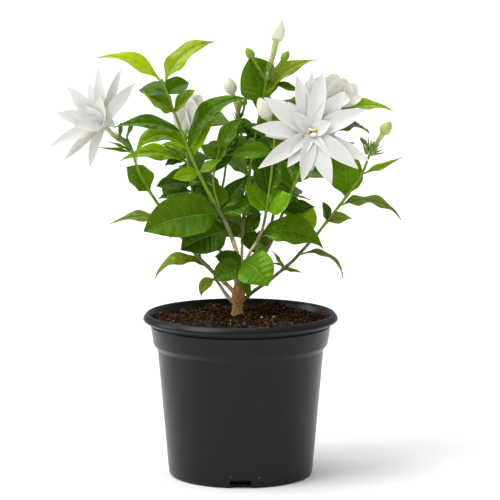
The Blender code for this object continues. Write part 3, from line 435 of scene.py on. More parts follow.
def path_length(path):
    return np.linalg.norm(np.diff(path, axis=0), axis=1).sum()


def taper(path, thick, thin):
    return np.linspace(thick, thin, len(path))


def cross_directions(heading, hint=(0.3, 0.9, 0.2)):
    """Two directions square to a heading and to each other."""
    side = unit(np.cross(heading, hint))
    return side, np.cross(heading, side)


def inner_outline(inset=0.0):
    """Inside of the pot from the middle of its floor to its mouth."""
    shift = WALL + inset
    return [
        (0.0, FLOOR + inset),
        (FOOT_RADIUS - shift - FOOT_ROUND, FLOOR + inset),
        (FOOT_RADIUS - shift, FLOOR + inset + FOOT_ROUND),
        (SHOULDER_RADIUS - shift, SHOULDER + 0.0005),
        (COLLAR_FOOT_RADIUS - shift, COLLAR_FOOT + 0.0005),
        (COLLAR_RADIUS - shift, LIP_FOOT + 0.0005),
    ]


def pot_outline():
    """Up the inside, over the lip, round the groove under it and down the outside to the underside."""
    lip = [
        (MOUTH_RADIUS - 0.0010, POT_HEIGHT - 0.0020),
        (MOUTH_RADIUS, POT_HEIGHT - 0.0005),
        (MOUTH_RADIUS + 0.0008, POT_HEIGHT),
        (MOUTH_RADIUS + 0.0018, POT_HEIGHT - 0.0002),
        (LIP_RADIUS - 0.0006, POT_HEIGHT - 0.0024),
        (LIP_RADIUS, POT_HEIGHT - 0.0038),
        (LIP_RADIUS - 0.0006, LIP_FOOT + 0.0006),
    ]
    groove = [
        (LIP_RADIUS - 0.0016, LIP_FOOT),
        (LIP_RADIUS - 0.0022, LIP_FOOT + 0.0012),
        (COLLAR_RADIUS - 0.0002, LIP_FOOT + 0.0010),
        (COLLAR_RADIUS - 0.0003, LIP_FOOT - 0.0020),
        (COLLAR_RADIUS + 0.0003, LIP_FOOT - 0.0030),
        (COLLAR_RADIUS, LIP_FOOT - 0.0040),
    ]
    outside = [
        (COLLAR_FOOT_RADIUS, COLLAR_FOOT),
        (SHOULDER_RADIUS, SHOULDER),
        (FOOT_RADIUS, FOOT_ROUND),
        (FOOT_RADIUS - 0.3 * FOOT_ROUND, 0.3 * FOOT_ROUND),
        (FOOT_RADIUS - FOOT_ROUND, 0.0),
    ]
    return [np.array(corner) for corner in inner_outline()[1:] + lip + groove + outside]


def soil_rise(x, y):
    """Height of the soil above its level: low ridges, a mound, and flat round the trunk."""
    away = ((x - TRUNK_STATIONS[0][0]) ** 2 + y**2) ** 0.5
    calm = min(1.0, max(0.0, (away - LEVEL_RADIUS) / LEVEL_RADIUS))
    ridges = 0.0004 * (sin(310 * x + 1.0) + sin(260 * y) + sin(190 * (x + y) + 2.0))
    reach = ((x - MOUND_PLACE[0]) ** 2 + (y - MOUND_PLACE[1]) ** 2) ** 0.5 / MOUND_RADIUS
    mound = MOUND_HEIGHT * 0.5 * (1 + cos(pi * min(1.0, reach)))
    return calm * (ridges + mound)


def shoot_start(plan, paths):
    """Foot and first heading of a shoot: on a bough's tip, on the trunk's side, or in another shoot."""
    if isinstance(plan.grows_from, tuple):
        return along(paths[plan.grows_from[0]], plan.grows_from[1])[0], None
    if plan.grows_from == "trunk":
        stations = np.array(TRUNK_STATIONS)
        heading = unit(np.array(plan.bend) * (0, 1, 0))
        place = stations[-2, :3] + (stations[-1, :3] - stations[-2, :3]) * 0.45
        return place + heading * (stations[-2, 3] + GAP), heading
    foot, heading = along(paths[plan.grows_from], 1.0)
    return foot + heading * GAP * 1.3, heading


def shoot_paths(bough_paths):
    paths = dict(bough_paths)
    for name, plan in SHOOTS.items():
        foot, heading = shoot_start(plan, paths)
        paths[name] = smooth_path([foot, plan.bend, plan.tip], heading)
    return paths


BLADE_STEPS = 24


def blade(base, across, up, rise, droop, length, width, lean, front, stations):
    """Rows of (left edge, rib, right edge, normal) of a leaf that bends as it goes."""
    out_right = np.cross(across, up)
    turn = radians(lean * float(out_right @ front))
    step = 1.0 / BLADE_STEPS
    rib, rows = np.array(base, float), []
    for i in range(BLADE_STEPS + 1):
        share = i * step
        angle = radians(rise - droop * share**1.3)
        heading = cos(angle) * across + sin(angle) * up
        for wanted, half, thick in stations:
            if abs(wanted - share) < step / 2:
                normal = np.cross(out_right, heading)
                face = cos(turn) * normal + sin(turn) * out_right
                side = cos(turn) * out_right - sin(turn) * normal
                reach = side * (half * width * cos(radians(FOLD)))
                lift = face * (half * width * sin(radians(FOLD)))
                rows.append((rib - reach + lift, rib.copy(), rib + reach + lift, face * thick))
        rib = rib + heading * length * step
    return rows


# Solids of the source's leaves, by which the rule finds what a leaf would touch
FOLD = 16
ROOT_SUNK = 0.0003
LONG_LEAF = 0.030
LEAF_STATIONS = ((0.0, 0.06), (0.166, 0.30), (0.416, 0.50), (0.708, 0.34), (1.0, 0.0))
PLAIN_STATIONS = ((0.0, 0.06), (0.292, 0.45), (0.625, 0.42), (1.0, 0.0))
LONG_LEAF_STATIONS = ((0.0, 0.05), (0.125, 0.22), (0.291, 0.44), (0.458, 0.50), (0.708, 0.35), (1.0, 0.0))


def blade_solid(base, across, up, rise, droop, length, width, lean, front, outline, thickness):
    """Closed thin wedge with a rib on both faces: points and faces."""
    stations = [(share, half, thickness * (1.0 - 0.45 * share)) for share, half in outline]
    rows = blade(base, across, up, rise, droop, length, width, lean, front, stations)
    points, faces = [], []
    for left, rib, right, thick in rows[:-1]:
        points += [left, rib + thick / 2, right, rib - thick / 2]
    points.append(rows[-1][1])
    for i in range(len(rows) - 2):
        for k in range(4):
            a, b = 4 * i + k, 4 * i + (k + 1) % 4
            faces.append((a, a + 4, b + 4, b))
    last = 4 * (len(rows) - 2)
    tip = len(points) - 1
    faces += [(last + k, tip, last + (k + 1) % 4) for k in range(4)]
    faces.append((0, 1, 2, 3))
    return [tuple(point) for point in points], faces


def leaf_solid(path, leaf, front, outline, wider):
    """Leaf with its root on the shoot's axis, or wider by so much all round."""
    azimuth = radians(leaf.azimuth)
    across = np.array([cos(azimuth), sin(azimuth), 0.0])
    base = along(path, leaf.place)[0] - across * ROOT_SUNK
    thickness = max(0.0009, 0.03 * leaf.length) + 2 * wider
    width = leaf.length * leaf.ratio + 2 * wider
    return blade_solid(
        base, across, UP, leaf.rise, leaf.droop,
        leaf.length + wider, width, leaf.lean, front, outline, thickness,
    )


def tree_of(points, faces):
    return BVHTree.FromPolygons([tuple(point) for point in points], faces)


def seen_from_front(point):
    """Where a point appears in the plane through the trunk, as X and Z."""
    share = -VIEWPOINT[1] / (point[1] - VIEWPOINT[1])
    seen = VIEWPOINT + (np.asarray(point) - VIEWPOINT) * share
    return seen[0], seen[2]


def inside(seen, ellipse):
    (x, z), (wide, high) = ellipse
    return ((seen[0] - x) / wide) ** 2 + ((seen[1] - z) / high) ** 2 < 1.0


def keeps_to_crown(points):
    for point in points:
        seen = seen_from_front(point)
        if point[1] < FRONT_DEPTH and inside(seen, FRONT_AREA):
            return False
        if not any(inside(seen, part) for part in CROWN):
            return False
        if any(inside(seen, window) for window in WINDOWS):
            return False
    return True


def tube_solid(path, radii):
    """Plain tube about a path, for finding what a leaf would touch: points and faces."""
    sides = 6
    points, faces = [], []
    for i, place in enumerate(path):
        heading = unit(path[min(i + 1, len(path) - 1)] - path[max(i - 1, 0)])
        side, other = cross_directions(heading, (0.3, 0.9, 0.1))
        for k in range(sides):
            turn = 2 * pi * k / sides
            points.append(tuple(place + radii[i] * (cos(turn) * side + sin(turn) * other)))
    for i in range(len(path) - 1):
        for k in range(sides):
            a, b = sides * i + k, sides * i + (k + 1) % sides
            faces.append((a, b, b + sides, a + sides))
    return points, faces


def flower_tube(flower, paths):
    foot, heading = along(paths[flower.grows_from], 1.0)
    return smooth_path([foot - heading * 0.001, flower.bend, flower.centre], heading, steps=3)


def bud_stalk(bud, paths):
    foot, heading = along(paths[bud.grows_from], bud.place)
    return smooth_path([foot - heading * 0.001, bud.bend, bud.head], heading, steps=3)


def shown_leaf(leaf, paths):
    outline = LONG_LEAF_STATIONS if leaf.length > LONG_LEAF else LEAF_STATIONS
    return leaf_solid(paths[leaf.shoot], leaf, FRONT, outline, 0.0)


def rule_leaf(leaf, paths, wider=0.0):
    """Leaf of the rule, which turns its face away from the middle of the crown."""
    place = along(paths[leaf.shoot], leaf.place)[0]
    return leaf_solid(paths[leaf.shoot], leaf, unit(place * (1, 1, 0)), PLAIN_STATIONS, wider)


def taken_space(paths):
    """Trees of everything that is listed, by mass or limb, each a gap wider than it is."""
    taken = {}
    stations = smooth_path(TRUNK_STATIONS, steps=2)
    taken["trunk"] = [tree_of(*tube_solid(stations[:, :3], stations[:, 3] + GAP))]
    for name, plan in BOUGHS.items():
        taken[name] = [tree_of(*tube_solid(paths[name], taper(paths[name], plan.thick, plan.thin) + GAP))]
    for name, plan in SHOOTS.items():
        tube = tube_solid(paths[name], taper(paths[name], plan.thick, plan.thin) + GAP)
        taken.setdefault(plan.mass, []).append(tree_of(*tube))
    for flower in FLOWERS.values():
        trees = taken[SHOOTS[flower.grows_from].mass]
        tube = flower_tube(flower, paths)
        trees.append(tree_of(*tube_solid(tube, taper(tube, TUBE_THIN, TUBE_THICK) + GAP)))
    for bud in BUDS.values():
        stalk = bud_stalk(bud, paths)
        head = stalk[-1] + unit(stalk[-1] - stalk[-2]) * bud.length
        reach = np.linspace(stalk[-1], head, 4)
        trees = taken[SHOOTS[bud.grows_from].mass]
        trees.append(tree_of(*tube_solid(stalk, taper(stalk, bud.stalk, bud.stalk) + GAP)))
        trees.append(tree_of(*tube_solid(reach, np.array((0.6, 1.0, 0.8, 0.2)) * bud.width / 2 + GAP)))
    return taken


def touches(solid, mass, taken):
    tree = tree_of(*solid)
    others = [other for owner, trees in taken.items() if owner != mass for other in trees]
    return any(tree.overlap(other) for other in others)


def drawn_leaf(name, place, turn, draw, shade):
    """Leaf of the rule with its heading, bend, size and green drawn by chance."""
    return Leaf(
        shoot=name,
        place=place,
        azimuth=turn + draw.uniform(-PAIR_SWAY, PAIR_SWAY),
        rise=draw.uniform(*PAIR_RISE),
        droop=draw.uniform(*PAIR_DROOP),
        length=draw.uniform(*PAIR_LENGTH),
        lean=PAIR_LEAN,
        ratio=draw.uniform(*PAIR_RATIO),
        look=shade.choice(REAR_LOOKS),
    )


def grow_leaf(name, place, turn, paths, taken, planned, draw, shade):
    """Plans the first of a few drawn leaves that keeps to the crown and clear of the other masses."""
    mass = SHOOTS[name].mass
    for _ in range(TRIES):
        leaf = drawn_leaf(name, place, turn, draw, shade)
        solid = rule_leaf(leaf, paths, GAP)
        if keeps_to_crown(solid[0]) and not touches(solid, mass, taken):
            taken[mass].append(tree_of(*rule_leaf(leaf, paths)))
            planned[name].append((leaf, rule_leaf))
            return


def plan_leaves(paths):
    """The leaves that show, then opposite pairs by the rule where they have room, by shoot."""
    draw = random.Random(SEED)
    shade = random.Random(SEED + 2)
    taken = taken_space(paths)
    planned = {name: [] for name in SHOOTS}
    for name, rows in LEAVES.items():
        for row in rows:
            leaf = Leaf(name, *row)
            taken[SHOOTS[name].mass].append(tree_of(*shown_leaf(leaf, paths)))
            planned[name].append((leaf, shown_leaf))
    for name, (first, last) in RULE_SHOOTS.items():
        count = max(1, round((last - first) * path_length(paths[name]) / PAIR_SPACING))
        turn = draw.uniform(0, 180)
        for k in range(count + 1):
            place = first + (last - first) * k / count
            for side in (0, 180):
                grow_leaf(name, place, turn + 90 * k + side, paths, taken, planned, draw, shade)
    return planned


# Leaves of the scene: six side veins, the swell of the blade between them, and the half widths along the rib
VEINS = 6
VEIN_HALF = 0.007
VEIN_SWEEP = 0.26
SHEET_THICK = 0.00032
RIB_STEPS = 48
RIB_COLUMN = 6
RIB_THICK = 0.0005
RIB_GROOVE = 0.00018
RIB_BOW = 0.035
BLADE_TWIST = 14
BLADE_PILLOW = 0.0135
WAVE_HEIGHT = (0.012, 0.034)
WAVE_TURNS = (1.6, 2.8)
EDGE_CURL = (-0.02, 0.10)
LEAST_HALF = 0.00025
LEAF_SHARES = (
    0.0, 0.03, 0.07, 0.10, 0.166, 0.24, 0.32, 0.40, 0.47, 0.55, 0.64, 0.73, 0.82, 0.90, 0.955, 1.0,
)
LONG_WIDTHS = (
    0.02, 0.025, 0.05, 0.12, 0.25, 0.37, 0.455, 0.49, 0.50, 0.475, 0.41, 0.30, 0.17, 0.07, 0.025, 0.004,
)
BROAD_WIDTHS = (
    0.02, 0.025, 0.05, 0.17, 0.34, 0.44, 0.49, 0.50, 0.50, 0.485, 0.45, 0.385, 0.29, 0.175, 0.08, 0.008,
)
BROAD_FROM = 0.5
LEAF_FULLNESS = 1.05
STALK_RADII = (0.00062, 0.00032)
STALK_ROWS = 6
SHOWN_LOOSE = 0.35


def add_object(name, data):
    """New object in the scene's collection."""
    made = bpy.data.objects.new(name, data)
    bpy.context.scene.collection.objects.link(made)
    return made


class Batch:
    """Many small forms joined in one mesh, each face with the number of its material."""

    def __init__(self, name, looks):
        self.name = name
        self.looks = looks
        self.points = []
        self.faces = []
        self.kinds = []
        self.count = 0

    def add(self, points, faces, kinds):
        points = np.asarray(points, float).reshape(-1, 3)
        self.points.append(points)
        self.faces += [tuple(int(i) + self.count for i in face) for face in faces]
        if np.isscalar(kinds):
            kinds = [kinds] * len(faces)
        self.kinds += [int(kind) for kind in kinds]
        self.count += len(points)

    def build(self, sharp=60):
        mesh = bpy.data.meshes.new(self.name)
        mesh.from_pydata(np.concatenate(self.points).tolist(), [], self.faces)
        for look in self.looks:
            mesh.materials.append(look)
        mesh.polygons.foreach_set("material_index", self.kinds)
        mesh.shade_smooth()
        mesh.set_sharp_from_angle(angle=radians(sharp))
        mesh.validate()
        return add_object(self.name, mesh)


def grid_faces(rows, columns, closed=False):
    """Quads of a grid of points, its last column joined to its first if closed."""
    width = columns if closed else columns - 1
    i, j = np.meshgrid(np.arange(rows - 1), np.arange(width), indexing="ij")
    a = i * columns + j
    b = i * columns + (j + 1) % columns
    return np.stack([a, b, b + columns, a + columns], axis=-1).reshape(-1, 4)


def sheet_faces(rows, columns):
    """Quads of a closed sheet: its face, its back and its rim."""
    face = grid_faces(rows, columns)
    shift = rows * columns
    back = face[:, ::-1] + shift
    top = np.arange(shift).reshape(rows, columns)
    border = np.concatenate([top[0, :], top[1:, -1], top[-1, -2::-1], top[-2:0:-1, 0]])
    after = np.roll(border, -1)
    rim = np.stack([after, border, border + shift, after + shift], axis=-1)
    return face, back, rim


def lattice(points, seed):
    """Repeatable number from 0 to 1 for each whole-number point."""
    x, y, z = (points[..., i].astype(np.int64) for i in range(3))
    n = (x * 73856093) ^ (y * 19349663) ^ (z * 83492791) ^ (seed * 2654435761)
    n = (n ^ (n >> 13)) * 1274126177
    return ((n ^ (n >> 16)) & 0xFFFFFF) / float(0xFFFFFF)


def noise(points, size, seed):
    """Smooth noise from -1 to 1, with features of this size."""
    places = np.asarray(points, float) / size
    low = np.floor(places)
    share = places - low
    share = share * share * (3 - 2 * share)
    total = 0.0
    for corner in range(8):
        step = np.array([corner & 1, corner >> 1 & 1, corner >> 2 & 1])
        weight = np.prod(np.where(step == 1, share, 1 - share), axis=-1)
        total = total + weight * lattice(low + step, seed)
    return 2 * total - 1


def rough_noise(points, size, seed):
    """Three layers of noise, each half as large and as high as the last."""
    return sum(noise(points, size / 2**k, seed + k) / 2**k for k in range(3))


def headings_of(path):
    """Unit heading at each point of a path."""
    headings = np.gradient(path, axis=0)
    return headings / np.linalg.norm(headings, axis=1)[:, None]


def turns_round(count):
    return np.arange(count) * 2 * pi / count


def frames(path):
    """Headings and two cross directions along a path, with no twist between neighbours."""
    headings = headings_of(np.asarray(path, float))
    side = unit(np.cross(headings[0], (0.31, 0.93, 0.17)))
    sides = []
    for heading in headings:
        side = unit(side - heading * float(side @ heading))
        sides.append(side)
    sides = np.array(sides)
    return headings, sides, np.cross(headings, sides)


def resampled(path, count):
    """Points evenly spaced along a path, smoothed."""
    path = np.asarray(path, float)
    reached = np.concatenate([[0.0], np.cumsum(np.linalg.norm(np.diff(path, axis=0), axis=1))])
    even = np.linspace(0, reached[-1], count)
    made = np.stack([np.interp(even, reached, path[:, i]) for i in range(3)], axis=1)
    for _ in range(2):
        made[1:-1] = (made[:-2] + 2 * made[1:-1] + made[2:]) / 4
    return made


def tube(path, radii, sides):
    """Rings of points about a path, one row a ring."""
    _, side, other = frames(path)
    turns = turns_round(sides)[None, :, None]
    radii = np.asarray(radii, float)
    if radii.ndim == 1:
        radii = np.repeat(radii[:, None], sides, axis=1)
    around = np.cos(turns) * side[:, None] + np.sin(turns) * other[:, None]
    return np.asarray(path)[:, None] + around * radii[..., None]


def add_tube(batch, path, radii, sides, kind):
    """Tube with rounded ends in a batch; kind is one number or one for each stretch between rings."""
    path = np.asarray(path, float)
    rings = tube(path, radii, sides)
    rows = len(rings)
    faces = [tuple(face) for face in grid_faces(rows, sides, closed=True)]
    kinds = [kind] * len(faces) if np.isscalar(kind) else list(np.repeat(kind, sides))
    points = list(rings.reshape(-1, 3))
    for row, before in ((0, 1), (rows - 1, rows - 2)):
        outwards = unit(path[row] - path[before])
        centre = len(points)
        points.append(path[row] + outwards * float(np.mean(radii[row])) * 0.5)
        for k in range(sides):
            a, b = row * sides + k, row * sides + (k + 1) % sides
            faces.append((b, a, centre) if row == 0 else (a, b, centre))
        kinds += [kinds[0]] * sides
    batch.add(points, faces, kinds)


def sheet_points(top, back):
    return np.concatenate([top.reshape(-1, 3), back.reshape(-1, 3)])


LEAF_LOOKS = ("young", "lime", "fresh", "bright", "mid", "dark", "olive", "grey", "pale")


def leaf_rows():
    """Rows of a leaf along its rib: share, height of the pillow between veins, and 1 where a vein starts."""
    middles = np.linspace(0.16, 0.86, VEINS)
    rows = [(0.0, 0.0, 0), (0.035, 0.0, 0), (0.07, 0.0, 0), (0.11, 0.4, 0)]
    for k, middle in enumerate(middles):
        rows += [(middle - VEIN_HALF, 0.0, 1), (middle + VEIN_HALF, 0.0, 0)]
        if k < VEINS - 1:
            gap = middles[k + 1] - middle
            rows += [(middle + 0.35 * gap, 0.9, 0), (middle + 0.68 * gap, 0.9, 0)]
    rows += [(0.905, 0.5, 0), (0.945, 0.2, 0), (0.975, 0.0, 0), (1.0, 0.0, 0)]
    return np.array(rows)


LEAF_ROWS = leaf_rows()
HALF_COLUMNS = (0.02, 0.075, 0.28, 0.54, 0.78, 0.955, 1)
LEAF_COLUMNS = np.array([-column for column in reversed(HALF_COLUMNS)] + list(HALF_COLUMNS))


def leaf_lift(s, t, half, pillow, wave):
    """How far the face of a leaf stands off its flat: fold, pillows between veins, waves, groove and curl."""
    height, phase, turns, curl = wave
    reach = np.abs(t)
    fold = np.tan(radians(FOLD - 1)) * (np.sqrt(t**2 + 0.012) - 0.11) * half
    pillows = pillow * LEAF_ROWS[:, 1][:, None] * np.minimum(1, reach / 0.2) * (1 - reach**4)
    ripple = height * np.sin(2 * pi * turns * s + phase + (t > 0) * 1.9)
    ripple = ripple * reach**2.5 * np.minimum(1, s * 5) * (1 - s) * 2
    return fold + pillows + ripple - RIB_GROOVE * (reach < 0.03) - curl * half * reach**3


def leaf_form(base, across, leaf, front, draw, loose):
    """Face and back points of a leaf: midrib and side veins in the rows and columns, raised between them."""
    out_right = np.cross(across, UP)
    turn = radians(leaf.lean * float(out_right @ front))
    shares = np.arange(RIB_STEPS + 1) / RIB_STEPS
    angles = np.radians(leaf.rise - leaf.droop * shares**1.3)[:, None]
    headings = np.cos(angles) * across + np.sin(angles) * UP
    rib = np.concatenate([[base], base + np.cumsum(headings[:-1], axis=0) * leaf.length / RIB_STEPS])
    bow = loose * draw.uniform(-RIB_BOW, RIB_BOW) * leaf.length
    rib = rib + out_right * (bow * shares**2)[:, None]
    twist = loose * radians(draw.uniform(-BLADE_TWIST, BLADE_TWIST))
    height = draw.uniform(*WAVE_HEIGHT) * leaf.length
    phase = draw.uniform(0, 6.3)
    wave = (height, phase, draw.uniform(*WAVE_TURNS), draw.uniform(*EDGE_CURL))
    u = LEAF_ROWS[:, 0][:, None]
    t = LEAF_COLUMNS[None, :]
    sweep = VEIN_SWEEP * leaf.ratio**0.5 * np.abs(t) ** 1.25
    s = np.clip(u + sweep * (1 - u) ** 0.75 * np.minimum(1, u / 0.12), 0, 1)
    widths = BROAD_WIDTHS if leaf.ratio > BROAD_FROM else LONG_WIDTHS
    half = np.interp(s, LEAF_SHARES, widths) * leaf.length * leaf.ratio * LEAF_FULLNESS
    half = np.maximum(half, LEAST_HALF)

    def along_rib(values):
        return np.stack([np.interp(s, shares, values[:, i]) for i in range(3)], axis=-1)

    places, heading = along_rib(rib), along_rib(headings)
    normal = np.cross(out_right, heading)
    roll = (turn + twist * s)[..., None]
    face = np.cos(roll) * normal + np.sin(roll) * out_right
    side = np.cos(roll) * out_right - np.sin(roll) * normal
    lift = leaf_lift(s, t, half, BLADE_PILLOW * leaf.length, wave)
    top = places + side * (t * half)[..., None] + face * lift[..., None]
    thick = SHEET_THICK + RIB_THICK * np.exp(-((t * half) ** 2) / RIB_THICK**2) * (1 - 0.7 * s)
    return top, top - face * thick[..., None]


LEAF_FACE, LEAF_BACK, LEAF_RIM = sheet_faces(len(LEAF_ROWS), len(LEAF_COLUMNS))
LEAF_FACES = np.concatenate([LEAF_FACE, LEAF_BACK, LEAF_RIM])


def leaf_kinds():
    """For each face: 0 the upper side, 1 the underside, 2 the midrib or the rim, 3 a side vein."""
    rows, columns = len(LEAF_ROWS) - 1, len(LEAF_COLUMNS) - 1
    kinds = np.zeros((rows, columns), int)
    kinds[LEAF_ROWS[:-1, 2] == 1, 2:-2] = 3
    kinds[:, RIB_COLUMN] = 2
    back = np.ones((rows, columns), int)
    back[:, RIB_COLUMN] = 2
    return np.concatenate([kinds.ravel(), back.ravel(), np.full(len(LEAF_RIM), 2)])


LEAF_KINDS = leaf_kinds()


def add_leaf(batch, stalks, path, leaf, front, draw, loose=1.0):
    """Leaf with its stalk; loose says how far it may bend and turn by chance."""
    azimuth = radians(leaf.azimuth)
    across = np.array([cos(azimuth), sin(azimuth), 0.0])
    base = along(path, leaf.place)[0] - across * ROOT_SUNK
    top, back = leaf_form(base, across, leaf, front, draw, loose)
    batch.add(sheet_points(top, back), LEAF_FACES, LEAF_LOOKS.index(leaf.look) * 4 + LEAF_KINDS)
    first = slice(0, STALK_ROWS)
    middle = (top[first, RIB_COLUMN] + top[first, RIB_COLUMN + 1]) / 2
    middle = middle - (top[first, RIB_COLUMN] - back[first, RIB_COLUMN]) * 0.5
    radii = np.linspace(*STALK_RADII, STALK_ROWS)
    # Stalks of dark leaves take the dark twig green, which follows the leaf's tone and its painted shade
    add_tube(stalks, resampled(middle, STALK_ROWS), radii, 7, 3 if leaf.look == "dark" else 2)


# Shoots: how far up each is bark, and then olive, before it is green
WOODY = {
    "top_left": (0.13, 0.24), "centre_right": (0.16, 0.26), "left": (0.20, 0.36), "right": (0.10, 0.30),
    "right_flower": (0.12, 0.30), "top_centre": (0.12, 0.3), "left_inner": (0.05, 0.2),
    "back_left": (0.15, 0.3), "back_right": (0.15, 0.3), "left_foot": (0.4, 1.0),
}
TWIG_STEP = 0.0011
TWIG_SIDES = 12
NODE_SWELL = 0.00018
STEM_SUNK = 0.0007
TUBE_ROWS = 24
LARGE_BUD = 0.0095


def add_shoot(batch, name, plan, path, leaves):
    """Shoot with faint ridges, swollen where leaves grow; a mass's stem is sunk into what carries it."""
    length = path_length(path)
    count = max(8, int(length / TWIG_STEP))
    fine = resampled(path, count)
    if not isinstance(plan.grows_from, tuple):
        fine[0] -= unit(fine[1] - fine[0]) * STEM_SUNK
    share = np.linspace(0, 1, count)
    radii = plan.thick + (plan.thin - plan.thick) * share
    for leaf in leaves:
        radii = radii + NODE_SWELL * np.exp(-(((share - leaf.place) * length / TWIG_STEP) ** 2))
    radii = radii[:, None] * (1 + 0.05 * np.cos(4 * turns_round(TWIG_SIDES)))
    radii = radii * (1 + 0.04 * noise(tube(fine, radii, TWIG_SIDES), 0.002, 5))
    bark, olive = WOODY.get(name, (0.0, 0.0))
    kind = np.where(share[:-1] < bark, 0, np.where(share[:-1] < olive, 1, 2))
    add_tube(batch, fine, radii, TWIG_SIDES, kind)


def make_twigs(paths, planned, looks):
    """Every shoot, every flower's tube and every bud's stalk."""
    batch = Batch("twigs", looks)
    for name, plan in SHOOTS.items():
        add_shoot(batch, name, plan, paths[name], [leaf for leaf, _ in planned[name]])
    share = np.linspace(0, 1, TUBE_ROWS)
    for flower in FLOWERS.values():
        path = resampled(flower_tube(flower, paths), TUBE_ROWS)
        radii = TUBE_THIN + (TUBE_THICK - TUBE_THIN) * share
        radii = radii + 0.0011 * np.exp(-(((share - 0.22) / 0.16) ** 2))
        radii = radii + 0.0016 * np.maximum(0, (share - 0.8) / 0.2) ** 2
        # The flared last stretch of each tube is greenish cream, partly its own tint and partly painted shade
        kind = np.where(share[:-1] < 0.45, 3, np.where(share[:-1] < 0.9, 4, 5))
        add_tube(batch, path, radii, 16, kind)
    for bud in BUDS.values():
        path = resampled(bud_stalk(bud, paths), TUBE_ROWS)
        radii = bud.stalk * (0.85 + 0.62 * share**1.3)
        add_tube(batch, path, radii, 14, 4 if bud.length > LARGE_BUD else 2)
    return batch


def add_calyx(batch, foot, heading, radius, teeth, length, draw):
    """Green cup at the foot of a tube, with narrow pointed teeth."""
    heading = unit(heading)
    side, other = cross_directions(heading)
    cup = np.array([foot + heading * length * k for k in (-0.05, 0.1, 0.25, 0.38)])
    add_tube(batch, cup, radius * np.array((0.85, 1.25, 1.4, 1.3)), 12, 0)
    for k in range(teeth):
        turn = 2 * pi * (k + draw.uniform(-0.15, 0.15)) / teeth
        outwards = cos(turn) * side + sin(turn) * other
        spread = draw.uniform(0.02, 0.26)
        reach = length * draw.uniform(0.75, 1.15)
        base = foot + heading * length * 0.25 + outwards * radius * 1.15
        shares = (0.0, 0.3, 0.65, 1.0)
        points = [base + (heading * share + outwards * spread * share**1.5) * reach for share in shares]
        add_tube(batch, points, radius * np.array((0.42, 0.36, 0.22, 0.05)), 5, 0)


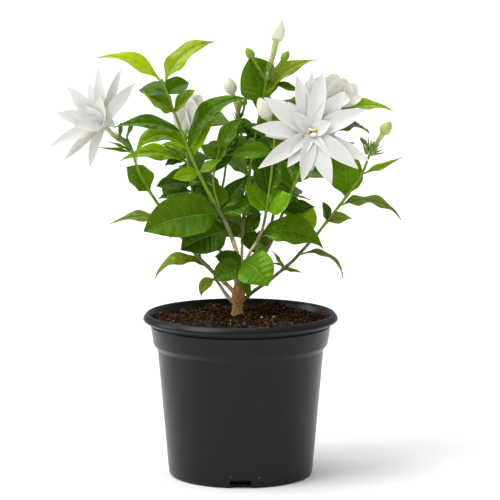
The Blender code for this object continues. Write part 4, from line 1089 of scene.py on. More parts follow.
# Petals: the tip from the flower's centre, the width, how far the petal arches towards the flower's face,
# and how far it is rolled about its length in degrees
Petal = namedtuple("Petal", "tip width bend roll")
PETALS = {
    "flower_left": (
        ((-0.0038, 0.0060, 0.0368), 0.0090, 0.0045, 10),
        ((0.0117, 0.0040, 0.0378), 0.0075, 0.0050, 40),
        ((0.0207, -0.0040, 0.0277), 0.0100, 0.0055, 30),
        ((-0.0111, 0.0130, 0.0271), 0.0095, 0.0030, 0),
        ((-0.0247, 0.0090, 0.0244), 0.0120, 0.0030, -5),
        ((-0.0326, 0.0020, 0.0077), 0.0120, 0.0030, -5),
        ((-0.0234, -0.0030, 0.0097), 0.0100, 0.0035, 0),
        ((-0.0350, -0.0110, -0.0129), 0.0115, 0.0045, 0),
        ((-0.0263, -0.0070, -0.0236), 0.0072, 0.0050, -30),
        ((-0.0098, -0.0050, -0.0266), 0.0085, 0.0050, -10),
        ((-0.0190, -0.0130, 0.0000), 0.0125, 0.0040, -15),
        ((-0.0170, 0.0010, 0.0125), 0.0115, 0.0035, 0),
        ((-0.0200, 0.0080, 0.0140), 0.0100, 0.0030, 5),
        ((-0.0120, -0.0070, 0.0130), 0.0110, 0.0040, 10),
        ((-0.0020, -0.0060, 0.0200), 0.0100, 0.0050, 20),
        ((0.0030, 0.0260, 0.0180), 0.0100, 0.0040, 0),
        ((0.0060, 0.0240, -0.0040), 0.0095, 0.0040, 0),
        ((-0.0140, 0.0220, -0.0150), 0.0095, 0.0040, 0),
    ),
    "flower_right": (
        ((-0.0306, -0.0010, 0.0231), 0.0118, 0.0030, 8),
        ((-0.0150, 0.0030, 0.0202), 0.0085, 0.0010, -10),
        ((-0.0384, -0.0060, 0.0042), 0.0098, 0.0030, -4),
        ((-0.0300, -0.0010, -0.0016), 0.0070, 0.0010, 6),
        ((-0.0345, -0.0130, -0.0218), 0.0092, 0.0040, 0),
        ((-0.0208, -0.0040, -0.0160), 0.0075, 0.0010, 0),
        ((-0.0156, -0.0120, -0.0212), 0.0098, 0.0030, 12),
        ((-0.0062, -0.0150, -0.0303), 0.0092, 0.0040, -10),
        ((0.0003, -0.0060, -0.0240), 0.0085, 0.0010, 0),
        ((0.0130, -0.0150, -0.0326), 0.0105, 0.0040, 10),
        ((0.0300, -0.0130, -0.0218), 0.0105, 0.0045, -6),
        ((0.0374, -0.0100, -0.0170), 0.0095, 0.0010, 4),
        ((0.0358, -0.0030, 0.0156), 0.0108, 0.0030, -8),
        ((0.0183, 0.0010, 0.0020), 0.0070, 0.0010, 0),
        ((0.0220, 0.0010, 0.0275), 0.0115, 0.0010, 10),
        ((0.0078, 0.0040, 0.0405), 0.0098, 0.0030, -12),
        ((0.0003, 0.0060, 0.0400), 0.0075, 0.0005, 6),
        ((-0.0094, 0.0040, 0.0371), 0.0098, 0.0025, 8),
        ((-0.0035, 0.0080, 0.0330), 0.0070, 0.0000, 0),
        ((0.0125, -0.0060, 0.0075), 0.0090, 0.0012, -10),
        ((-0.0120, -0.0050, 0.0140), 0.0085, 0.0010, 10),
        ((-0.0130, -0.0060, -0.0110), 0.0085, 0.0010, -5),
        ((0.0120, -0.0060, -0.0130), 0.0090, 0.0010, 5),
    ),
    "flower_back": (
        ((-0.0040, -0.0060, 0.0185), 0.0125, 0.0020, 0),
        ((0.0010, -0.0010, 0.0205), 0.0115, 0.0020, 0),
        ((0.0045, -0.0080, 0.0170), 0.0120, 0.0025, 15),
        ((0.0085, -0.0040, 0.0170), 0.0125, 0.0030, 20),
        ((0.0130, -0.0060, 0.0135), 0.0110, 0.0030, 10),
        ((0.0165, -0.0020, 0.0120), 0.0100, 0.0030, 10),
        ((0.0190, -0.0070, 0.0045), 0.0090, 0.0030, 0),
        ((0.0110, -0.0110, 0.0040), 0.0100, 0.0030, 0),
        ((-0.0110, -0.0030, 0.0180), 0.0120, 0.0030, 0),
        ((-0.0170, 0.0020, 0.0150), 0.0110, 0.0030, 0),
        ((-0.0200, 0.0060, 0.0080), 0.0100, 0.0030, 0),
        ((-0.0060, 0.0160, 0.0130), 0.0110, 0.0030, 0),
        ((0.0070, 0.0150, 0.0120), 0.0110, 0.0030, 0),
        ((0.0150, 0.0100, 0.0080), 0.0100, 0.0030, 0),
        ((0.0000, 0.0050, 0.0180), 0.0110, 0.0010, 0),
    ),
    "flower_half_open": (
        ((0.0067, 0.0020, 0.0250), 0.0125, 0.0040, 0),
        ((0.0105, 0.0010, 0.0235), 0.0105, 0.0030, 20),
        ((0.0030, -0.0030, 0.0235), 0.0130, 0.0040, -10),
        ((0.0060, -0.0050, 0.0190), 0.0130, 0.0030, 0),
        ((-0.0040, -0.0020, 0.0165), 0.0110, 0.0030, -20),
        ((0.0010, 0.0060, 0.0220), 0.0120, 0.0040, 0),
        ((0.0080, 0.0070, 0.0200), 0.0120, 0.0030, 0),
    ),
}
POINTED = (0.30, 0.37, 0.42, 0.46, 0.49, 0.50, 0.475, 0.41, 0.30, 0.165, 0.012)
BLUNT = (0.30, 0.38, 0.44, 0.48, 0.50, 0.50, 0.495, 0.48, 0.43, 0.32, 0.10)

# Looks of each flower: its petals' outline, their white, how much broader they are than their widths, and how
# far they turn from the flower's own facing, or nothing where they stand round it and face outwards
Style = namedtuple("Style", "outline white broader turn")
STYLES = {
    "flower_left": Style(POINTED, 2, 0.84, (0.35, -0.55, -0.10)),
    "flower_right": Style(POINTED, 0, 1.12, (0.0, 0.0, 0.0)),
    "flower_back": Style(BLUNT, 1, 1.1, None),
    "flower_half_open": Style(BLUNT, 1, 1.05, None),
}
INNER_REACH = 0.028
PETAL_ROWS = 21
PETAL_COLUMNS = 11
PETAL_SHEET = 0.00026
PETAL_KEEL = 0.00028
PETAL_PLEAT = 0.00013
PETAL_RUFFLE = 0.001
PETAL_FACES = np.concatenate(sheet_faces(PETAL_ROWS, PETAL_COLUMNS))


def petal_form(centre, facing, petal, style, draw):
    """Face and back points of a petal: arched along its length, with a faint keel, pleats and a ruffle."""
    tip = np.array(petal.tip) * draw.uniform(0.985, 1.01)
    out = unit(tip)
    face = unit(facing - out * float(facing @ out))
    s = np.linspace(0, 1, PETAL_ROWS)[:, None]
    rib = centre + s * tip + face * (petal.bend * 1.95 * s**0.6 * (1 - s))
    headings = headings_of(rib)
    side = unit(np.cross(out, face))
    roll = np.radians(petal.roll + draw.uniform(-6, 6)) * np.sin(pi * np.minimum(1, s * 0.8 + 0.1))
    normal = np.cross(np.broadcast_to(side, headings.shape), headings)
    up = np.cos(roll) * normal + np.sin(roll) * side
    across = np.cos(roll) * side - np.sin(roll) * normal
    shares = np.linspace(0, 1, len(style.outline))
    half = np.interp(s, shares, style.outline) * petal.width * style.broader
    t = np.linspace(-1, 1, PETAL_COLUMNS)[None, :]
    cup = draw.uniform(0.16, 0.34) * half * t**2
    keel = -PETAL_KEEL * np.exp(-((t / 0.16) ** 2)) * (1 - s)
    pleats = PETAL_PLEAT * np.cos(t * 5 * pi) * np.sin(pi * s)
    ruffle = draw.uniform(0.1, 0.5) * PETAL_RUFFLE * np.sin(2 * pi * (1.4 * s + draw.uniform(0, 1))) * t**3
    lift = cup + keel + pleats + ruffle
    top = rib[:, None] + across[:, None] * (t * half)[..., None] + up[:, None] * lift[..., None]
    return top, top - up[:, None] * PETAL_SHEET


# Throats, where the petals are one above the tube: height over the centre and radius, from foot to rim
THROATS = {
    "flower_left": ((-0.004, 0.0016), (-0.002, 0.0022), (0.0, 0.0036), (0.0022, 0.0058), (0.004, 0.0082)),
    "flower_right": ((-0.004, 0.0017), (-0.0022, 0.0021), (-0.0008, 0.0032), (0.0, 0.0055), (0.0006, 0.008)),
    "flower_back": ((-0.0025, 0.0014), (-0.001, 0.0022), (0.001, 0.0036), (0.003, 0.005), (0.005, 0.006)),
    "flower_half_open": (
        (-0.003, 0.0013), (-0.001, 0.0022), (0.001, 0.0032), (0.004, 0.0042), (0.007, 0.0046),
    ),
}
THROAT_SIDES = 48


def add_throat(batch, centre, axis, profile, kind):
    """Thin open cone of petal about the flower's axis."""
    heights, radii = np.array(profile).T
    path = centre + axis * heights[:, None]
    outer = tube(path, radii, THROAT_SIDES)
    inner = tube(path + axis * PETAL_SHEET * 1.5, radii - PETAL_SHEET * 0.5, THROAT_SIDES)
    rows = np.concatenate([outer, inner[::-1], outer[:1]])
    batch.add(rows.reshape(-1, 3), grid_faces(len(rows), THROAT_SIDES, closed=True), kind)


def petal_facing(flower, style, petal):
    if style.turn is None:
        return unit((petal.tip[0] * 20, 1 if petal.tip[1] > 0.004 else -1, 0.4))
    return unit(np.array(flower.faces) + style.turn)


def make_flowers(looks, draw):
    """Every flower, petal by petal; the short petals of a shaded flower keep the plain white."""
    batch = Batch("petals", looks)
    for name, flower in FLOWERS.items():
        axis, style = unit(flower.faces), STYLES[name]
        add_throat(batch, np.array(flower.centre), axis, THROATS[name], style.white % 2)
        for row in PETALS[name]:
            petal = Petal(*row)
            centre = np.array(flower.centre) - axis * 0.0006 + axis * draw.uniform(-1, 1) * 0.0004
            form = petal_form(centre, petal_facing(flower, style, petal), petal, style, draw)
            inner = np.linalg.norm(petal.tip) < INNER_REACH
            batch.add(sheet_points(*form), PETAL_FACES, style.white % 2 if inner else style.white)
    return batch


BUD_ROWS = 26
BUD_SIDES = 30
BUD_FOOT = 0.14


def add_bud(batch, head, heading, length, width, kinds, draw):
    """Pointed egg with the seams of its rolled petals winding up it."""
    heading = unit(heading)
    side, other = cross_directions(heading)
    v = np.linspace(0.012, 0.988, BUD_ROWS)[:, None]
    profile = np.sin(pi * v**0.84) ** 0.62 * (1 - 0.12 * v)
    profile /= profile.max()
    turns = turns_round(BUD_SIDES)[None, :]
    seam = np.cos(2.5 * (turns - draw.uniform(1.2, 2.0) * v))
    radii = width / 2 * profile * (1 - 0.06 * np.abs(seam) ** 6)
    around = np.cos(turns)[..., None] * side + np.sin(turns)[..., None] * other
    points = head + heading * ((v - 0.05) * length)[..., None] + around * radii[..., None]
    ends = [head - heading * 0.055 * length, head + heading * 0.95 * length]
    faces = [tuple(face) for face in grid_faces(BUD_ROWS, BUD_SIDES, closed=True)]
    foot = BUD_ROWS * BUD_SIDES
    for k in range(BUD_SIDES):
        after = (k + 1) % BUD_SIDES
        faces.append((after, k, foot))
        faces.append((foot - BUD_SIDES + k, foot - BUD_SIDES + after, foot + 1))
    level = np.repeat(v[:-1], BUD_SIDES)
    kind = list(np.where(level < BUD_FOOT, kinds[1], kinds[0])) + [kinds[1], kinds[0]] * BUD_SIDES
    batch.add(np.concatenate([points.reshape(-1, 3), ends]), faces, kind)


# Looks of each bud: its body, then its foot
BUD_LOOKS = {
    "bud_top": (0, 1), "bud_left": (0, 1), "bud_centre": (0, 1), "bud_right": (2, 2),
    "bud_top_left": (3, 3), "bud_top_right": (3, 3), "bud_small": (3, 3), "bud_twin": (3, 3),
    "bud_right_small": (4, 4), "bud_left_small": (4, 4), "bud_left_twin": (4, 4),
}


def make_buds(paths, looks, draw):
    batch = Batch("buds", looks)
    for name, bud in BUDS.items():
        stalk = bud_stalk(bud, paths)
        add_bud(batch, stalk[-1], stalk[-1] - stalk[-2], bud.length, bud.width, BUD_LOOKS[name], draw)
    return batch


# Green cups with long teeth where flowers have still to come: foot, heading, radius and length
TOOTHED = (
    ((0.0832, -0.0030, 0.2155), (-0.05, 0.0, 1.0), 0.0012, 0.0085),
    ((0.0865, -0.0045, 0.2150), (0.15, -0.2, 1.0), 0.0015, 0.0090),
    ((0.0862, -0.0022, 0.2150), (0.85, -0.1, 0.30), 0.0011, 0.0080),
    ((0.0164, 0.0026, 0.2640), (-0.1, 0.0, 1.0), 0.0007, 0.0062),
    ((0.0180, 0.0018, 0.2640), (0.5, -0.3, 1.0), 0.0009, 0.0060),
    ((-0.0765, -0.0090, 0.2235), (-0.75, -0.1, 0.65), 0.0013, 0.0090),
    ((-0.0376, 0.0200, 0.2225), (0.45, -0.3, 0.85), 0.0012, 0.0065),
    ((-0.0018, 0.0148, 0.2352), (-0.35, -0.2, 0.9), 0.0010, 0.0062),
    ((0.0222, -0.0092, 0.2285), (0.5, -0.3, 0.8), 0.0010, 0.0060),
)


def make_small_greens(paths, looks, draw):
    """Cups at the feet of flowers and buds."""
    batch = Batch("calyxes", looks)
    for flower in FLOWERS.values():
        path = flower_tube(flower, paths)
        add_calyx(batch, path[1], path[2] - path[1], TUBE_THIN * 1.2, 7, 0.006, draw)
    for bud in BUDS.values():
        path = bud_stalk(bud, paths)
        add_calyx(batch, path[1], path[2] - path[1], bud.stalk * 1.1, 6, 0.0042 + bud.length * 0.1, draw)
    for place, heading, radius, length in TOOTHED:
        add_calyx(batch, np.array(place), np.array(heading), radius, 5, length, draw)
    return batch


# The rolled inner petals of the large open flower: place from its centre across, up and out, the way they
# head, half their length, their radius and look
CURLS = (
    ((-0.0006, 0.0018, 0.0030), (0.3, 1.0, 0.6), 0.0005, 0.0017, 0),
    ((0.0022, 0.0018, 0.0022), (-0.2, 1.0, 0.4), 0.0008, 0.0019, 1),
    ((0.0010, -0.0018, 0.0036), (1.0, 0.12, 0.1), 0.0021, 0.0013, 0),
    ((0.0062, -0.0016, 0.0030), (1.0, 0.05, -0.1), 0.0022, 0.0011, 0),
    ((-0.0022, 0.0004, 0.0022), (0.5, 1.0, 0.3), 0.0008, 0.0012, 1),
    ((0.0008, 0.0004, 0.0004), (0.0, 0.0, 1.0), 0.0005, 0.0030, 0),
)


def make_stamens(looks):
    """The rolled white and golden middle of the large open flower."""
    batch = Batch("stamens", looks)
    flower = FLOWERS["flower_right"]
    axis = unit(flower.faces)
    across = unit(np.cross(UP, axis))
    turned = np.array([across, np.cross(axis, across), axis])
    swell = np.array((0.55, 0.85, 1, 1.04, 1.05, 1.04, 1, 0.85, 0.55))
    for place, heading, half, radius, look in CURLS:
        middle = np.array(flower.centre) + np.array(place) @ turned
        reach = unit(np.array(heading) @ turned) * half
        curl = middle + reach * np.linspace(-1, 1, len(swell))[:, None]
        add_tube(batch, curl, radius * swell, 16, look)
    return batch


# Bark: rows and sides of the trunk and a bough, and where the ring bulge and the bough's joint are
TRUNK_ROWS = 150
TRUNK_SIDES = 56
RING_LEVEL = 0.1150
BOUGH_ROWS = 64
BOUGH_SIDES = 28
JOINT_PLACE = 0.62


def bump_at(values, middle, width):
    """Smooth bump of height one about a middle."""
    return np.exp(-(((values - middle) / width) ** 2))


def add_trunk(batch):
    """The trunk with flaking bark, ring marks round its bulge and five ridges at its foot."""
    stations = smooth_path(TRUNK_STATIONS, steps=8)
    path = resampled(stations[:, :3], TRUNK_ROWS)
    path[-1] += (path[-1] - path[-2]) * 2
    shares = np.linspace(0, 1, len(stations))
    radii = np.interp(np.linspace(0, 1, TRUNK_ROWS), shares, stations[:, 3])[:, None]
    rings = tube(path, np.repeat(radii, TRUNK_SIDES, axis=1), TRUNK_SIDES)
    level = rings[..., 2]
    relief = 0.00030 * rough_noise(rings * (1, 1, 0.35), 0.0016, 3) + 0.00016 * noise(rings, 0.0006, 9)
    marks = 0.00016 * np.cos((level - 0.1148) * 2 * pi / 0.0022 + 3 * noise(rings, 0.004, 4))
    marks = marks * bump_at(level, RING_LEVEL, 0.004)
    foot = 0.0006 * np.exp(-(level - TRUNK_FOOT) / 0.0012) * (1 + np.cos(5 * turns_round(TRUNK_SIDES)))
    add_tube(batch, path, radii + relief + marks + foot, TRUNK_SIDES, 0)


def add_bough(batch, plan, seed, look):
    """A bough with a flared foot, a joint on its way, a swelling at its tip and fine bark."""
    path = resampled(smooth_path([plan.foot, plan.bend, plan.tip], steps=8), BOUGH_ROWS)
    path[-1] += unit(path[-1] - path[-2]) * GAP
    share = np.linspace(0, 1, BOUGH_ROWS)
    radii = (plan.thick + (plan.thin - plan.thick) * share) * (1 + 0.45 * np.exp(-((share * 5.6) ** 2)))
    radii = radii * (1 + 0.14 * bump_at(share, JOINT_PLACE, 0.035) + 0.10 * bump_at(share, 0.97, 0.03))
    rings = tube(path, radii, BOUGH_SIDES)
    relief = 0.00010 * rough_noise(rings * (1, 1, 0.5), 0.0012, seed)
    add_tube(batch, path, radii[:, None] + relief, BOUGH_SIDES, look)


def make_limbs(looks):
    """Trunk and boughs as one mesh with the relief of bark."""
    batch = Batch("trunk_and_boughs", looks)
    add_trunk(batch)
    for index, (name, plan) in enumerate(BOUGHS.items()):
        add_bough(batch, plan, 20 + index, 2 if name == "bough_right_low" else 1)
    return batch


# Fine soil: its level at the edge and the middle, how far out it reaches, and how deep its side shows
SOIL_EDGE = 0.1036
SOIL_CENTRE = 0.1072
SOIL_REACH = 0.0584
SOIL_DEEP = 0.1030
SOIL_ROWS = 78
SOIL_SIDES = 300


def soil_height(points):
    """Height of the fine soil at points in plan: a low dome, the source's rise, lumps and crumbs."""
    flat = np.concatenate([points[..., :2], np.zeros(points.shape[:-1] + (1,))], axis=-1)
    rise = np.array([soil_rise(x, y) for x, y in flat[..., :2].reshape(-1, 2)]).reshape(points.shape[:-1])
    away = np.hypot(points[..., 0] - TRUNK_STATIONS[0][0], points[..., 1])
    dome = SOIL_EDGE + (SOIL_CENTRE - SOIL_EDGE) * (1 - np.minimum(1, away / SOIL_REACH) ** 1.4)
    lumps = 0.0014 * rough_noise(flat, 0.0070, 31) + 0.00050 * noise(flat, 0.0013, 37)
    calm = np.clip((away - 0.003) / 0.006, 0.25, 1)
    return dome + rise * 1.5 + lumps * calm


def make_soil_body(looks):
    """The soil as one closed body: its lumpy top, then down inside the pot to the floor."""
    batch = Batch("soil_body", looks)
    turns = turns_round(SOIL_SIDES)
    circle = np.stack([np.cos(turns), np.sin(turns), np.zeros(SOIL_SIDES)], axis=1)
    top = circle[None] * np.linspace(0.0008, SOIL_REACH, SOIL_ROWS)[:, None, None]
    top[..., 2] = soil_height(top)
    below = [(radius, min(level, SOIL_DEEP)) for radius, level in inner_outline(inset=GAP)[:0:-1]]
    sides = [circle * radius + UP * level for radius, level in below]
    points = np.concatenate([top, np.array(sides)])
    faces = [tuple(face) for face in grid_faces(len(points), SOIL_SIDES, closed=True)]
    # The sides down inside the pot take the near-black second peat: painted shade
    kinds = [0 if row < SOIL_ROWS else 1 for row in range(len(points) - 1) for _ in range(SOIL_SIDES)]
    faces.append(tuple(range(SOIL_SIDES - 1, -1, -1)))
    last = (len(points) - 1) * SOIL_SIDES
    faces.append(tuple(range(last, last + SOIL_SIDES)))
    batch.add(points.reshape(-1, 3), faces, kinds + [0, 1])
    return batch


def lump_form():
    """Points and faces of a lump of twenty faces: a top, two rings of five corners and a bottom."""
    rings = []
    for first, level in ((0, 0.447), (36, -0.447)):
        turns = [radians(first + 72 * k) for k in range(5)]
        rings += [(0.894 * cos(turn), 0.894 * sin(turn), level) for turn in turns]
    points = np.round([(0, 0, 1), *rings, (0, 0, -1)], 2)
    steps = [(k, (k + 1) % 5) for k in range(5)]
    faces = [(0, 1 + k, 1 + after) for k, after in steps]
    faces += [(1 + k, 6 + k, 1 + after) for k, after in steps]
    faces += [(6 + k, 6 + after, 1 + after) for k, after in steps]
    faces += [(11, 6 + after, 6 + k) for k, after in steps]
    return points, faces


LUMP, LUMP_FACES = lump_form()
CRUMB_COUNT = 4200
CRUMB_REACH = 0.0585
CRUMB_SIZE = (0.00035, 0.0011)
FIBRE_COUNT = 420
FIBRE_REACH = 0.054
FIBRE_LENGTH = (0.002, 0.011)
FIBRE_RADIUS = (0.00006, 0.00022)
FIBRE_ROWS = 7
TRUNK_CLEAR = 0.0045
TRUNK_X = TRUNK_STATIONS[0][0]

# Grains on the soil where the photo shows them: place in plan, size, and 0 for perlite or 1 for a root's end
FLECKS = (
    (-0.0085, -0.0085, 0.00075, 0), (0.0220, -0.0085, 0.0011, 0), (0.0140, -0.0170, 0.0008, 0),
    (-0.0010, -0.0300, 0.0006, 1), (0.0020, -0.0290, 0.0006, 1), (-0.0520, -0.0080, 0.0006, 1),
    (-0.0440, -0.0180, 0.0006, 1), (0.0300, 0.0200, 0.0007, 0), (-0.0300, 0.0300, 0.0007, 0),
    (0.0090, 0.0390, 0.0008, 1), (-0.0180, -0.0350, 0.0005, 0), (0.0390, -0.0200, 0.0005, 1),
)
PALE_ROOTS = (
    ((-0.0066, -0.0180), (-0.0060, -0.0230), (-0.0068, -0.0275), (-0.0064, -0.0310)),
    ((0.0052, -0.0070), (0.0044, -0.0100), (0.0030, -0.0135)),
)
ROOT_ROWS = 12


def strewn_place(reach, draw):
    """Distance from the middle, and a point there in plan, spread evenly over a disc."""
    away, turn = reach * draw.uniform(0, 1) ** 0.5, draw.uniform(0, 2 * pi)
    return away, np.array([away * cos(turn), away * sin(turn), 0.0])


def lumpy(low, high, draw):
    """The lump with each corner drawn in or out."""
    return LUMP * np.array([[draw.uniform(low, high)] for _ in LUMP])


def add_crumb(batch, draw):
    away, place = strewn_place(CRUMB_REACH, draw)
    if np.hypot(place[0] - TRUNK_X, place[1]) < TRUNK_CLEAR:
        return
    size = CRUMB_SIZE[0] + CRUMB_SIZE[1] * draw.uniform(0, 1) ** 3
    if away + size > SOIL_REACH - GAP:
        return
    place[2] = float(soil_height(place[None])[0]) + size * draw.uniform(-0.1, 0.5)
    squash = np.array([draw.uniform(0.6, 1.4), draw.uniform(0.6, 1.4), draw.uniform(0.5, 1.0)]) * size
    spin = draw.uniform(0, 2 * pi)
    x, y, z = (lumpy(0.75, 1.25, draw) * squash).T
    points = np.stack([x * cos(spin) - y * sin(spin), x * sin(spin) + y * cos(spin), z], axis=1)
    batch.add(place + points, LUMP_FACES, draw.choice((0, 0, 0, 0, 0, 1, 1, 1, 2)))


def make_crumbs(looks, draw):
    """Crumbs of peat of several browns, strewn over the surface."""
    batch = Batch("soil_crumbs", looks)
    for _ in range(CRUMB_COUNT):
        add_crumb(batch, draw)
    return batch


def add_fibre(batch, draw):
    start = strewn_place(FIBRE_REACH, draw)[1]
    heading = draw.uniform(0, 2 * pi)
    length = draw.uniform(*FIBRE_LENGTH)
    points = []
    for _ in range(FIBRE_ROWS):
        heading += draw.uniform(-0.35, 0.35)
        start = start + np.array([cos(heading), sin(heading), 0.0]) * length / (FIBRE_ROWS - 1)
        points.append(start)
    points = np.array(points)
    if np.hypot(points[:, 0], points[:, 1]).max() > SOIL_REACH - 0.0004:
        return
    if np.hypot(points[:, 0] - TRUNK_X, points[:, 1]).min() < TRUNK_CLEAR + GAP:
        return
    points[:, 2] = soil_height(points) + [draw.uniform(0.0001, 0.0009) for _ in range(FIBRE_ROWS)]
    radii = draw.uniform(*FIBRE_RADIUS) * np.array((0.4, 0.9, 1, 1, 1, 0.8, 0.3))
    add_tube(batch, points, radii, 5, draw.choice((0, 0, 1, 1, 2)))


def make_fibres(looks, draw):
    """Peat fibres and fine roots lying on the soil."""
    batch = Batch("soil_fibres", looks)
    for _ in range(FIBRE_COUNT):
        add_fibre(batch, draw)
    return batch


def make_flecks(looks, draw):
    """White grains of perlite and pale root ends."""
    batch = Batch("soil_flecks", looks)
    for x, y, size, kind in FLECKS:
        place = np.array([x, y, 0.0])
        place[2] = float(soil_height(place[None])[0]) + size * 0.6
        batch.add(place + lumpy(0.7, 1.2, draw) * size * (1.3, 1.0, 0.7), LUMP_FACES, kind)
    for root in PALE_ROOTS:
        path = resampled([(x, y, 0.0) for x, y in root], ROOT_ROWS)
        path[:, 2] = soil_height(path) + 0.0005
        add_tube(batch, path, np.linspace(0.00034, 0.0002, ROOT_ROWS), 6, 1)
    return batch


# Fine pot: its notches, the small gaps under the foot as azimuth, width and height, and the moulding marks
FINE_NOTCH = (0.0156, 0.0132, 0.0054)
FOOT_GAPS = ((-122, 0.0028, 0.0010), (-145, 0.0022, 0.0008), (40, 0.0026, 0.0009), (63, 0.0022, 0.0008))
POT_SIDES = 224
POT_STEP = 0.006
CORNER_RADIUS = 0.0007
MARK_LEVEL = 0.0081
MARK_ARCS = ((-121, -44), (50, 128))
MARK_ROWS = 60
POT_FLECKS = ((-97.5, 0.0080, 0.0004, 0.0006), (-75.5, 0.0074, 0.0003, 0.0010))


def rounded(outline, radius):
    """Outline with each corner turned into a short curve."""
    made = [outline[0]]
    for before, corner, after in zip(outline[:-2], outline[1:-1], outline[2:]):
        reach_in, reach_out = np.linalg.norm(corner - before), np.linalg.norm(after - corner)
        start = corner + (before - corner) * min(radius / reach_in, 0.45)
        end = corner + (after - corner) * min(radius / reach_out, 0.45)
        for share in (0.0, 0.33, 0.67, 1.0):
            made.append((1 - share) ** 2 * start + 2 * share * (1 - share) * corner + share**2 * end)
    return made + [outline[-1]]


def wall_directions(azimuth):
    """The way out and the way along the wall at an azimuth in degrees."""
    turn = radians(azimuth)
    return np.array([cos(turn), sin(turn), 0.0]), np.array([-sin(turn), cos(turn), 0.0])


def wedge(azimuth, bottom, top, height):
    """Block that cuts a notch in the foot: its corners' points and faces."""
    outwards, side = wall_directions(azimuth)
    half, narrow = bottom / 2, top / 2
    edge = (
        (-half, -0.002), (half, -0.002), (narrow, height - 0.0005), (narrow - 0.0005, height),
        (0.0005 - narrow, height), (-narrow, height - 0.0005),
    )
    points = []
    for out in (-0.006, 0.006):
        for wide, high in edge:
            points.append(tuple(outwards * (FOOT_RADIUS + 0.002 + out) + side * wide + UP * high))
    ring = [(i, (i + 1) % 6, (i + 1) % 6 + 6, i + 6) for i in range(6)]
    return points, ring + [(5, 4, 3, 2, 1, 0), (6, 7, 8, 9, 10, 11)]


def mesh_object(name, points, faces):
    mesh = bpy.data.meshes.new(name)
    mesh.from_pydata(points, [], faces)
    return add_object(name, mesh)


def pot_shell():
    """The turned pot before its notches are cut."""
    fine = []
    outline = rounded(pot_outline(), CORNER_RADIUS)
    for a, b in zip(outline[:-1], outline[1:]):
        count = max(1, int(np.hypot(*(b - a)) / POT_STEP))
        fine += [a + (b - a) * k / count for k in range(count)]
    radii, levels = np.array(fine + [outline[-1]]).T[..., None]
    turns = turns_round(POT_SIDES)
    levels = np.repeat(levels, POT_SIDES, axis=1)
    rings = np.stack([radii * np.cos(turns), radii * np.sin(turns), levels], axis=-1)
    faces = [tuple(face)[::-1] for face in grid_faces(len(rings), POT_SIDES, closed=True)]
    faces.append(tuple(range(POT_SIDES)))
    last = (len(rings) - 1) * POT_SIDES
    faces.append(tuple(last + k for k in range(POT_SIDES - 1, -1, -1)))
    return mesh_object("pot_shell", rings.reshape(-1, 3).tolist(), faces)


def make_pot(look):
    """The moulded pot with a fine round wall and lip, its notches cut."""
    shell = pot_shell()
    shell.data.materials.append(look)
    cuts = [(-90 + 360 * k / NOTCH_COUNT, *FINE_NOTCH) for k in range(NOTCH_COUNT)]
    cuts += [(azimuth, width, width * 0.9, height) for azimuth, width, height in FOOT_GAPS]
    cutters = [mesh_object("notch", *wedge(*cut)) for cut in cuts]
    for cutter in cutters:
        modifier = shell.modifiers.new("notch", "BOOLEAN")
        modifier.operation = "DIFFERENCE"
        modifier.solver = "EXACT"
        modifier.object = cutter
    bpy.context.view_layer.update()
    made = bpy.data.meshes.new_from_object(shell.evaluated_get(bpy.context.evaluated_depsgraph_get()))
    shell.modifiers.clear()
    shell.data = made
    for cutter in cutters:
        bpy.data.objects.remove(cutter)
    made.shade_smooth()
    made.set_sharp_from_angle(angle=radians(24))
    return shell


def wall_radius(level):
    return FOOT_RADIUS + (SHOULDER_RADIUS - FOOT_RADIUS) * (level - FOOT_ROUND) / (SHOULDER - FOOT_ROUND)


def make_pot_marks(looks):
    """Faint raised lines of the mould low on the wall."""
    batch = Batch("pot_marks", looks)
    radius = wall_radius(MARK_LEVEL) - 0.00006
    levels = np.full(MARK_ROWS, MARK_LEVEL)
    swell = 0.00020 * np.sin(np.linspace(0.15, pi - 0.15, MARK_ROWS))
    for low, high in MARK_ARCS:
        turns = np.radians(np.linspace(low, high, MARK_ROWS))
        path = np.stack([radius * np.cos(turns), radius * np.sin(turns), levels], axis=1)
        add_tube(batch, path, swell, 8, 0)
    return batch


def make_pot_flecks(looks):
    """Two pale specks low on the front of the pot."""
    batch = Batch("pot_flecks", looks)
    for azimuth, level, wide, high in POT_FLECKS:
        outwards, side = wall_directions(azimuth)
        centre = outwards * wall_radius(level) + UP * level
        points = LUMP[:, :1] * outwards * 0.00015 + LUMP[:, 1:2] * side * wide + LUMP[:, 2:] * UP * high
        batch.add(centre + points, LUMP_FACES, 0)
    return batch


def shader_of(name, roughness, specular):
    """New material with its node tree and shader."""
    made = bpy.data.materials.new(name)
    made.use_nodes = True
    shader = made.node_tree.nodes["Principled BSDF"]
    shader.inputs["Roughness"].default_value = roughness
    shader.inputs["Specular IOR Level"].default_value = specular
    return made, made.node_tree, shader


def add_noise(tree, scale, detail, rough=0.55, stretch=(1.0, 1.0, 1.0)):
    place = tree.nodes.new("ShaderNodeTexCoord")
    mapping = tree.nodes.new("ShaderNodeMapping")
    mapping.inputs["Scale"].default_value = stretch
    made = tree.nodes.new("ShaderNodeTexNoise")
    made.inputs["Scale"].default_value = scale
    made.inputs["Detail"].default_value = detail
    made.inputs["Roughness"].default_value = rough
    tree.links.new(place.outputs["Object"], mapping.inputs["Vector"])
    tree.links.new(mapping.outputs["Vector"], made.inputs["Vector"])
    return made


def mottle(tree, shader, colours, scale, **options):
    """Base colour that wanders between the colours by noise."""
    speck = add_noise(tree, scale, **options)
    ramp = tree.nodes.new("ShaderNodeValToRGB")
    stops = np.linspace(0.3, 0.7, len(colours))
    elements = ramp.color_ramp.elements
    while len(elements) < len(colours):
        elements.new(0.5)
    for element, stop, colour in zip(elements, stops, colours):
        element.position = stop
        element.color = (*colour, 1.0)
    tree.links.new(speck.outputs["Fac"], ramp.inputs["Fac"])
    tree.links.new(ramp.outputs["Color"], shader.inputs["Base Color"])


